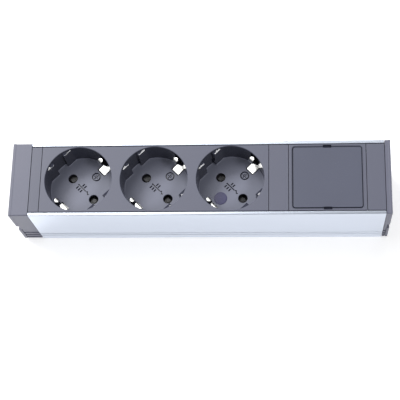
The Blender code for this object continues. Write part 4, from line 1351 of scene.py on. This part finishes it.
# Blank module -------------------------------------------------------------------------------
@dataclass
class BlankModule:
    """The square module with its lift-out cover."""

    window: tuple[float, float] = (36.0, 33.0)
    corner: float = 1.6
    pry: tuple[float, float] = (5.0, 1.6)
    gap: float = 0.38
    inset: float = 0.1
    slope: float = 0.5
    seat_depth: float = 1.8
    shelf: tuple[float, float] = (3.6, 2.0)
    cover_thick: float = 1.5
    leg: tuple[float, float, float, float] = (16.4, 17.6, 38.5, 6)

    def frame_ring(self, width: float, depth: float, low: float, high: float,
                   flare: float) -> bpy.types.Object:
        """The seat that the cover sits in, with walls that lean out towards the top.

        Args:
            width: Its width along X at the bottom.
            depth: Its width along Y at the bottom.
            low: Height of its floor.
            high: Height of the face that it opens in.
            flare: How far the walls lean out.

        Returns:
            The hollow, as a solid.
        """
        bottom = rounded_rectangle(width, depth, self.corner)
        top = rounded_rectangle(width + 2 * flare, depth + 2 * flare, self.corner + flare)
        middle = high - flare * 0.9
        rings = [[(u, v, low) for u, v in bottom], [(u, v, middle) for u, v in bottom],
                 [(u, v, high + 0.01) for u, v in top], [(u, v, high + 1.0) for u, v in top]]
        return loft("seat", rings)

    def thumb_notch(self, name: str, y: float, low: float) -> bpy.types.Object:
        """A small slot at the middle of an edge, open to the top, for lifting the cover out."""
        outline = [(u, v + y) for u, v in rounded_rectangle(*self.pry, 0.35)]
        return slab(name, outline, low, 50, Axis.Z)

    def build(self) -> None:
        """Make the frame and the cover."""
        section = insert_section()
        low, high = node_box("module_frame")
        cover_low, cover_high = node_box("blank_cover")
        centre = node_middle("module_frame").x
        face = high.z
        width, depth = cover_high.x - cover_low.x, cover_high.y - cover_low.y
        rim = slab("module_rim", section.outline(), low.x, high.x)
        beveled(rim, 0.22, 2, 50)
        base = block("frame_base", (low.x + 0.3, -section.half + 0.8, face - self.shelf[0]),
                     (high.x - 0.3, section.half - 0.8, face - self.shelf[1]))
        combine(rim, [base], Cut.ON)
        seat = self.frame_ring(width + 2 * self.gap, depth + 2 * self.gap, face - self.seat_depth, face,
                               self.slope)
        window = slab("window", rounded_rectangle(*self.window, 1.0), 40, 50, Axis.Z)
        pries = []
        for side in (-1, 1):
            pries.append(self.thumb_notch("pry", side * (depth / 2 + self.gap + 0.15), 44.5))
        combine(rim, [moved(c, 0.0, (centre, 0, 0)) for c in (seat, window, *pries)])
        settle(rim, INSERT, BASE, ["module_frame"])

        plate = rounded_rectangle(width - 2 * self.inset, depth - 2 * self.inset, self.corner - self.gap)
        cover = slab("cover_plate", plate, face - self.cover_thick, face, Axis.Z)
        combine(cover, [self.thumb_notch("notch", side * (depth / 2 + 0.35), 40) for side in (-1, 1)])
        beveled(cover, 0.28, 3, 40)
        legs = []
        inner, outer, foot, half = self.leg
        for side in (-1, 1):
            outline = rounded([(side * inner, foot, 0.2), (side * outer, foot, 0.2),
                               (side * outer, face - 1.2, 0.0), (side * inner, face - 1.2, 0.0)], 3)
            legs.append(slab("leg", outline, -half, half, Axis.Y))
        combine(cover, legs, Cut.ON)
        settle(moved(cover, 0.0, (centre, 0, 0)), COVER, "cover", ["blank_cover"])


# End caps -----------------------------------------------------------------------------------
INLET_OPENING = (-14.0, 5.75, 14.0, 26.25)   # lowest y and z, highest y and z


@dataclass
class EndCap:
    """One plastic end cap, built inwards from its outer face."""

    node: str
    name: str
    way: int
    plate: float
    opening: tuple[float, float, float, float] | None = None
    wall: float = 2.0
    lines: tuple[float, float, float] = (4.4, 8.6, 12.8)
    line_height: float = 1.7
    line_depth: float = 0.9
    foot: float = 1.0
    finger: tuple[float, float] = (19.0, 26.0)
    finger_depth: float = 5.0
    groove: tuple[float, float, float] = (0.45, 0.75, 20.0)
    tube_radius: float = 3.1
    tongue: tuple[float, float, float, float] = (18.6, 20.35, 27, 35)
    tongue_reach: float = 4.8
    overlap: float = 0.2
    drill: tuple[float, float, float] = (3.3, 3.0, 1.55)
    sink: float = 1.9

    def body_outline(self, half: float, low: float, high: float) -> Outline:
        """Section of the cap behind its plate, with three sunk lines near its foot."""
        corners = [(half, low, self.foot)]
        inner = half - self.line_depth
        for z in self.lines:
            corners += [(half, z, 0.1), (inner, z + 0.1, 0.1), (inner, z + self.line_height, 0.1),
                        (half, z + self.line_height + 0.15, 0.1)]
        corners.append((half, high, 0.6))
        return rounded(mirrored(corners), 5)

    def build(self) -> None:
        """Make the cap."""
        low, high = node_box(self.node)
        half = high.y
        x_out = low.x if self.way > 0 else high.x
        channel = node_box("housing_profile")
        x_end = (channel[0].x if self.way > 0 else channel[1].x) - self.way * 0.3
        x_plate = x_out + self.way * self.plate
        outline = rounded(mirrored([(half, low.z, self.foot), (half, high.z, 0.6)]), 6)
        cap = slab(self.name, outline, *sorted((x_out, x_plate)))
        beveled(cap, 0.3, 3, 60)
        body = slab("body", self.body_outline(half - 0.12, low.z + 0.12, high.z - 0.1),
                    *sorted((x_plate - self.way * 0.35, x_end)))
        combine(cap, [body], Cut.ON)
        inner = half - self.wall - 0.8
        x0, x1 = sorted((x_plate + self.way * 0.4, x_end + self.way * 2))
        hollow = block("hollow", (x0, -inner, low.z + self.wall + 0.2), (x1, inner, high.z - self.wall))
        combine(cap, [hollow])
        near, far = x_out - self.way, x_end + self.way
        for side in (-1, 1):
            self.grip(cap, side, half, near, x_plate)
            self.fixing(cap, side, near, far, x_plate, x_end)
        if self.opening:
            y0, z0, y1, z1 = self.opening
            outline = rounded([(y0, z0, 1.0), (y1, z0, 1.0), (y1, z1, 1.0), (y0, z1, 1.0)], 4)
            combine(cap, [slab("inlet_opening", outline, *sorted((near, x_out + self.way * 3)))])
        settle(cap, CAP, BASE, [self.node])

    def grip(self, cap: bpy.types.Object, side: int, half: float, near: float, x_plate: float) -> None:
        """Cut the finger notch and the narrow groove behind the plate on one side.

        Args:
            cap: The cap so far.
            side: -1 for the front, 1 for the back.
            half: Half of the cap's width along Y.
            near: An X just outside the plate.
            x_plate: Where the plate ends.
        """
        y0, y1 = sorted((side * (half - self.finger_depth), side * (half + 1)))
        x0, x1 = sorted((near, x_plate + self.way * 0.1))
        z0, z1 = self.finger
        notch = rounded([(x0, z0, 0.0), (x1, z0, 0.3), (x1, z1, 1.2), (x0, z1, 0.0)])
        combine(cap, [slab("finger_notch", notch, y0, y1, Axis.Y)])
        width, depth, top = self.groove
        x0, x1 = sorted((x_plate, x_plate + self.way * width))
        y0, y1 = sorted((side * (half - depth), side * (half + 1)))
        combine(cap, [block("groove", (x0, y0, 0), (x1, y1, top))])

    def fixing(self, cap: bpy.types.Object, side: int, near: float, far: float, x_plate: float,
               x_end: float) -> None:
        """Add the screw tube and the tongue on one side, and drill for the screw.

        Args:
            cap: The cap so far.
            side: -1 for the front, 1 for the back.
            near: An X just outside the plate.
            far: An X just beyond the cap's inner end.
            x_plate: Where the plate ends.
            x_end: The cap's inner end.
        """
        y, z = side * SCREW_PORT[0], SCREW_PORT[1]
        start = x_plate - self.way * self.overlap
        profile = [(self.tube_radius, 0), (self.tube_radius, abs(x_end - x_plate) + self.overlap)]
        post = turned("screw_tube", profile, (start, y, z), (self.way, 0, 0), 28)
        y0, y1 = sorted((side * self.tongue[0], side * self.tongue[1]))
        x0, x1 = sorted((start, x_end + self.way * self.tongue_reach))
        tongue = block("tongue", (x0, y0, self.tongue[2]), (x1, y1, self.tongue[3]))
        combine(cap, [post, tongue], Cut.ON)
        sink = 1 + min(self.sink, self.plate + 0.4)
        mouth, head, shank = self.drill
        profile = [(mouth, 0), (head, 1.3), (head, sink), (shank, sink), (shank, abs(far - near) + 0.5)]
        combine(cap, [turned("drill", profile, (near, y, z), (self.way, 0, 0), 40)])


# Screws -------------------------------------------------------------------------------------
CROSS_BARS = ((2.6, 0.62, 1.9), (0.62, 2.6, 1.9))   # sizes of the two bars of a cross recess


@dataclass
class Screws:
    """A family of like screws, made by one tree and settled as one piece."""

    name: str
    nodes: tuple[str, ...]
    direction: Vector
    head_radius: float
    head_height: float = 1.6
    shank_radius: float = 1.0
    thread: float = 0.14
    pitch: float = 1.0

    def tree(self, length: float) -> NodeShape:
        """A tree that stands a cross-head screw with a helical thread on each point it is given."""
        shape = NodeShape(self.name, {
            "Head Radius": self.head_radius, "Head Height": self.head_height,
            "Shank Radius": self.shank_radius, "Length": length, "Thread": self.thread, "Pitch": self.pitch,
        })
        head = shape.add("GeometryNodeMeshCylinder", None, Vertices=32, Side_Segments=1,
                         Radius=shape.given("Head Radius"), Depth=shape.given("Head Height"))
        dome = shape.add("GeometryNodeMeshUVSphere", None, Segments=32, Rings=16,
                         Radius=shape.given("Head Radius"))
        round_top = shape.raised(dome, shape.math("MULTIPLY", shape.given("Head Height"), 0.35),
                                 Scale=(1.02, 1.02, 0.95))
        eased = shape.add("GeometryNodeMeshBoolean", {"operation": "INTERSECT"})
        shape.feed_all((head, round_top), eased.inputs["Mesh 2"])
        floor_painted_light = shape.raised(eased, shape.math("MULTIPLY", shape.given("Head Height"), 0.5))
        cross = [shape.add("GeometryNodeMeshCube", None, Size=size) for size in CROSS_BARS]
        recess = shape.add("GeometryNodeMeshBoolean", {"operation": "DIFFERENCE"})
        shape.feed_all((floor_painted_light,), recess.inputs["Mesh 1"])
        shape.feed_all(cross, recess.inputs["Mesh 2"])
        shank = shape.add("GeometryNodeMeshCylinder", None, Vertices=20, Radius=shape.given("Shank Radius"),
                          Depth=shape.given("Length"))
        half_length = shape.math("MULTIPLY", shape.given("Length"), 0.5)
        reach = shape.math("ADD", shape.given("Head Height"), half_length)
        shank_low = shape.raised(shank, shape.math("SUBTRACT", reach, 0.05))
        threaded = shape.math("SUBTRACT", shape.given("Length"), 0.8)
        turns = shape.math("DIVIDE", threaded, shape.given("Pitch"))
        helix = shape.add("GeometryNodeCurveSpiral", None, Resolution=16, Rotations=turns,
                          Start_Radius=shape.given("Shank Radius"), End_Radius=shape.given("Shank Radius"),
                          Height=threaded)
        ridge = shape.add("GeometryNodeCurvePrimitiveCircle", None, Resolution=4,
                          Radius=shape.given("Thread"))
        swept = shape.add("GeometryNodeCurveToMesh", None, Curve=helix.outputs[0],
                          Profile_Curve=ridge.outputs[0], Fill_Caps=True)
        thread = shape.raised(swept, shape.math("ADD", shape.given("Head Height"), 0.4))
        whole = shape.add("GeometryNodeJoinGeometry")
        shape.feed_all((recess, shank_low, thread), whole.inputs["Geometry"])
        turn = Vector((0, 0, 1)).rotation_difference(self.direction).to_euler()
        stand = shape.add("GeometryNodeInstanceOnPoints", None, Points=shape.given("Geometry"),
                          Instance=whole.outputs[0], Rotation=tuple(turn))
        shape.close(stand.outputs[0])
        return shape

    def build(self) -> None:
        """Make the screws where their nodes are."""
        heads = []
        length = 0.0
        for node in self.nodes:
            low, high = node_box(node)
            along = abs((high - low).dot(self.direction))
            heads.append((low + high) / 2 - self.direction * along / 2)
            length = along - self.head_height
        places = point_cloud(self.name + "_places", heads)
        screws = self.tree(length).run(self.name, places, ZINC.material())
        settle(screws, ZINC, BASE, self.nodes, 40)


# Mains inlet --------------------------------------------------------------------------------
@dataclass
class Inlet:
    """The three-pole inlet in the deep cap, and its contact blades."""

    wall: float = 1.5
    chamfer: float = 4.2
    depth: float = 16.0
    centre: float = 16.0
    half_y: float = 12.2
    half_z: float = 8.45
    collar: tuple[float, float] = (3.1, 4.3)
    flare: float = 0.5
    shoulder: float = 2.2

    def mouth(self, grown: float, radius: float) -> Outline:
        """The cavity's outline, a rectangle with cut upper corners.

        Args:
            grown: How far its sides stand out from their nominal place.
            radius: What its corners are rounded to.

        Returns:
            The outline as (y, z) points.
        """
        y, cut = self.half_y + grown, self.chamfer
        low, high = self.centre - (self.half_z + grown), self.centre + (self.half_z + grown)
        corners = [(-y, low), (y, low), (y, high - cut), (y - cut, high), (cut - y, high), (-y, high - cut)]
        return rounded([(u, v, radius) for u, v in corners], 4)

    def build(self) -> None:
        """Make the shroud and its three blades."""
        low, high = node_box("inlet_shroud")
        cap_low = node_box("left_end_cap")[0]
        around = rounded_rectangle(2 * (self.half_y + self.wall), 2 * (self.half_z + self.wall), 0.8)
        shroud = slab("inlet_body", [(u, v + self.centre) for u, v in around], low.x, high.x)
        beveled(shroud, 0.25, 2, 60)
        start, end = self.collar
        collar = block("collar", (low.x + start, low.y, low.z), (low.x + end, high.y, high.z))
        combine(shroud, [collar], Cut.ON)
        end = cap_low.x + self.depth
        cavity = self.mouth(0.0, 0.7)
        flared = self.mouth(self.flare, 0.9)
        rings = [[(low.x - 1, u, v) for u, v in flared], [(low.x - 0.01, u, v) for u, v in flared],
                 [(low.x + self.flare, u, v) for u, v in cavity], [(end, u, v) for u, v in cavity]]
        combine(shroud, [loft("cavity", rings)])
        for pole in ("live", "neutral", "earth"):
            pin_low, pin_high = node_box("inlet_pin_" + pole)
            middle = (pin_low + pin_high) / 2
            hole = block("hole", (end - 1, middle.y - 1.3, middle.z - 2.3),
                         (end + 3, middle.y + 1.3, middle.z + 2.3))
            combine(shroud, [hole])
            self.blade(pole, pin_low, pin_high, end)
        settle(shroud, INLET, BASE, ["inlet_shroud"])

    def blade(self, pole: str, low: Vector, high: Vector, wall: float) -> None:
        """Make one contact blade.

        Args:
            pole: Which pole it is.
            low: Its node's lowest corner.
            high: Its node's highest corner.
            wall: Where the inlet's back wall starts.
        """
        z = (low.z + high.z) / 2
        tip, step = low.x + 1.2, wall + self.shoulder
        corners = [(low.x, z - 1.2, 0.3), (tip, low.z, 0.5), (step, low.z, 0.2), (step, z - 1, 0.1),
                   (high.x, z - 1, 0.2), (high.x, z + 1, 0.2), (step, z + 1, 0.1), (step, high.z, 0.2),
                   (tip, high.z, 0.5), (low.x, z + 1.2, 0.3)]
        pin = slab("inlet_blade_" + pole, rounded(corners, 3), low.y, high.y, Axis.Y)
        settle(beveled(pin, 0.3, 3, 50), NICKEL, BASE, ["inlet_pin_" + pole])


@dataclass
class TestSeal:
    """The plain film disc in the last socket."""

    def build(self) -> None:
        """Make the disc."""
        low, high = node_box("test_seal")
        middle = (low + high) / 2
        radius = (high.x - low.x) / 2
        floor = low.z - 0.28
        profile = [(radius, 0), (radius, 0.12), (radius - 0.12, 0.2), (radius - 0.5, 0.23), (0.4, 0.25)]
        seal = turned("test_disc", profile, (middle.x, middle.y, floor), segments=64)
        settle(seal, SEAL, BASE, ["test_seal"])


# Nodes carried over -------------------------------------------------------------------------
@dataclass
class Interior:
    """The working parts inside, whose CAD shape stays and which only get their finish."""

    finishes: dict[str, Finish] = field(default_factory=lambda: {
        "socket_block_rear": CARRIER,
        "live_busbar": BRASS,
        "neutral_busbar": BRASS,
        "earth_rail": BRASS,
        "wire_live": WIRE_LIVE,
        "wire_neutral": WIRE_NEUTRAL,
        "wire_earth": WIRE_EARTH,
        "earth_bond_washer": ZINC,
    })

    def dress(self) -> None:
        """Give each node its finish."""
        for node, finish in self.finishes.items():
            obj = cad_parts[node]
            obj.data.materials.clear()
            obj.data.materials.append(finish.material())
            log.info("%s: finish %s", node, finish.slot)


# Studio -------------------------------------------------------------------------------------
@dataclass(frozen=True)
class Lamp:
    """A rectangular soft light that faces the frame's origin."""

    name: str
    place: tuple[float, float, float]
    size: tuple[float, float]
    watts: float

    def build(self) -> None:
        """Set it up."""
        light = bpy.data.lights.new(self.name, "AREA")
        light.shape = "RECTANGLE"
        light.size, light.size_y = self.size
        light.energy = self.watts
        obj = bpy.data.objects.new(self.name, light)
        obj.location = self.place
        obj.rotation_euler = (-Vector(self.place)).to_track_quat("-Z", "Y").to_euler()
        bpy.context.scene.collection.objects.link(obj)


LAMPS = (
    Lamp("overhead", (-0.85, 0.5, 1.6), (1.4, 1.2), 12.5),
    Lamp("back", (0.1, 1.05, 1.5), (0.7, 0.35), 2.2),
    Lamp("key", (-1.0, 0.95, 1.5), (0.9, 0.6), 22.0),
    Lamp("sparkle", (0.8, -0.43, 1.3), (0.36, 0.36), 6.0),
)


@dataclass
class Studio:
    """Floor, lights and camera."""

    camera_place: Vector = field(default_factory=lambda: Vector((56.6, -224.3, 651.9)) * MM)
    camera_turn: tuple[float, float, float] = (19.205, 4.793, 1.232)
    lens: float = 99.8
    sensor: float = 36.0
    floor_half: float = 6.0
    floor_colour: tuple[float, float, float] = (0.80, 0.80, 0.805)
    floor_glow: float = 0.5
    room_colour: tuple[float, float, float, float] = (0.97, 0.98, 1.0, 1.0)
    room_strength: float = 0.3

    def floor(self) -> None:
        """A plain pale floor."""
        bm = bmesh.new()
        bmesh.ops.create_grid(bm, x_segments=1, y_segments=1, size=self.floor_half)
        floor = as_object("floor", bm)
        dressing = Dressing("pale_floor")
        grain = dressing.effect(Effect.GRAIN, Fineness=300.0, Depth=0.02, Mottle=0.01)
        dressing.feed("Base Color", dressing.tinted(self.floor_colour, grain.outputs["Tone"]))
        dressing.feed("Roughness", 0.8)
        dressing.feed("Specular IOR Level", 0.2)
        dressing.shader.inputs["Emission Color"].default_value = (1.0, 1.0, 1.0, 1.0)
        dressing.feed("Emission Strength", self.floor_glow)
        floor.data.materials.append(dressing.material)

    def lights(self) -> None:
        """A pale room and its soft lights."""
        world = bpy.data.worlds.new("room")
        bpy.context.scene.world = world
        bpy.context.scene.view_settings.view_transform = "Standard"
        world.use_nodes = True
        background = world.node_tree.nodes["Background"]
        background.inputs["Color"].default_value = self.room_colour
        background.inputs["Strength"].default_value = self.room_strength
        for lamp in LAMPS:
            lamp.build()

    def camera(self) -> None:
        """The camera, seen from high in front."""
        data = bpy.data.cameras.new("camera")
        data.lens = self.lens
        data.sensor_width = self.sensor
        data.clip_start = 0.01
        obj = bpy.data.objects.new("camera", data)
        obj.location = self.camera_place
        obj.rotation_euler = [math.radians(a) for a in self.camera_turn]
        bpy.context.scene.collection.objects.link(obj)
        bpy.context.scene.camera = obj

    def build(self) -> None:
        """Set all of it up."""
        self.floor()
        self.lights()
        self.camera()


def main() -> None:
    """Build the strip piece by piece round the frame."""
    logging.basicConfig(level=logging.INFO, format="%(name)s: %(message)s")
    Studio().build()
    Channel().build()
    Fillers().build()
    sockets = SocketBlock()
    sockets.build()
    EarthClips().build(sockets.centres())
    Shutters().build(sockets.centres())
    TestSeal().build()
    BlankModule().build()
    EndCap("left_end_cap", "inlet_end_cap", 1, 1.9, INLET_OPENING).build()
    EndCap("right_end_cap", "plain_end_cap", -1, 1.5).build()
    for end, way in (("left", 1), ("right", -1)):
        nodes = ("%s_cap_screw_front" % end, "%s_cap_screw_back" % end)
        Screws("cap_screws_" + end, nodes, Vector((way, 0, 0)), 2.6).build()
    Screws("block_screws", BLOCK_SCREWS, Vector((0, 0, 1)), 2.3).build()
    Screws("bond_screw", ("earth_bond_screw",), Vector((0, 0, -1)), 2.2).build()
    Inlet().build()
    Interior().dress()


if __name__ == "__main__":
    main()
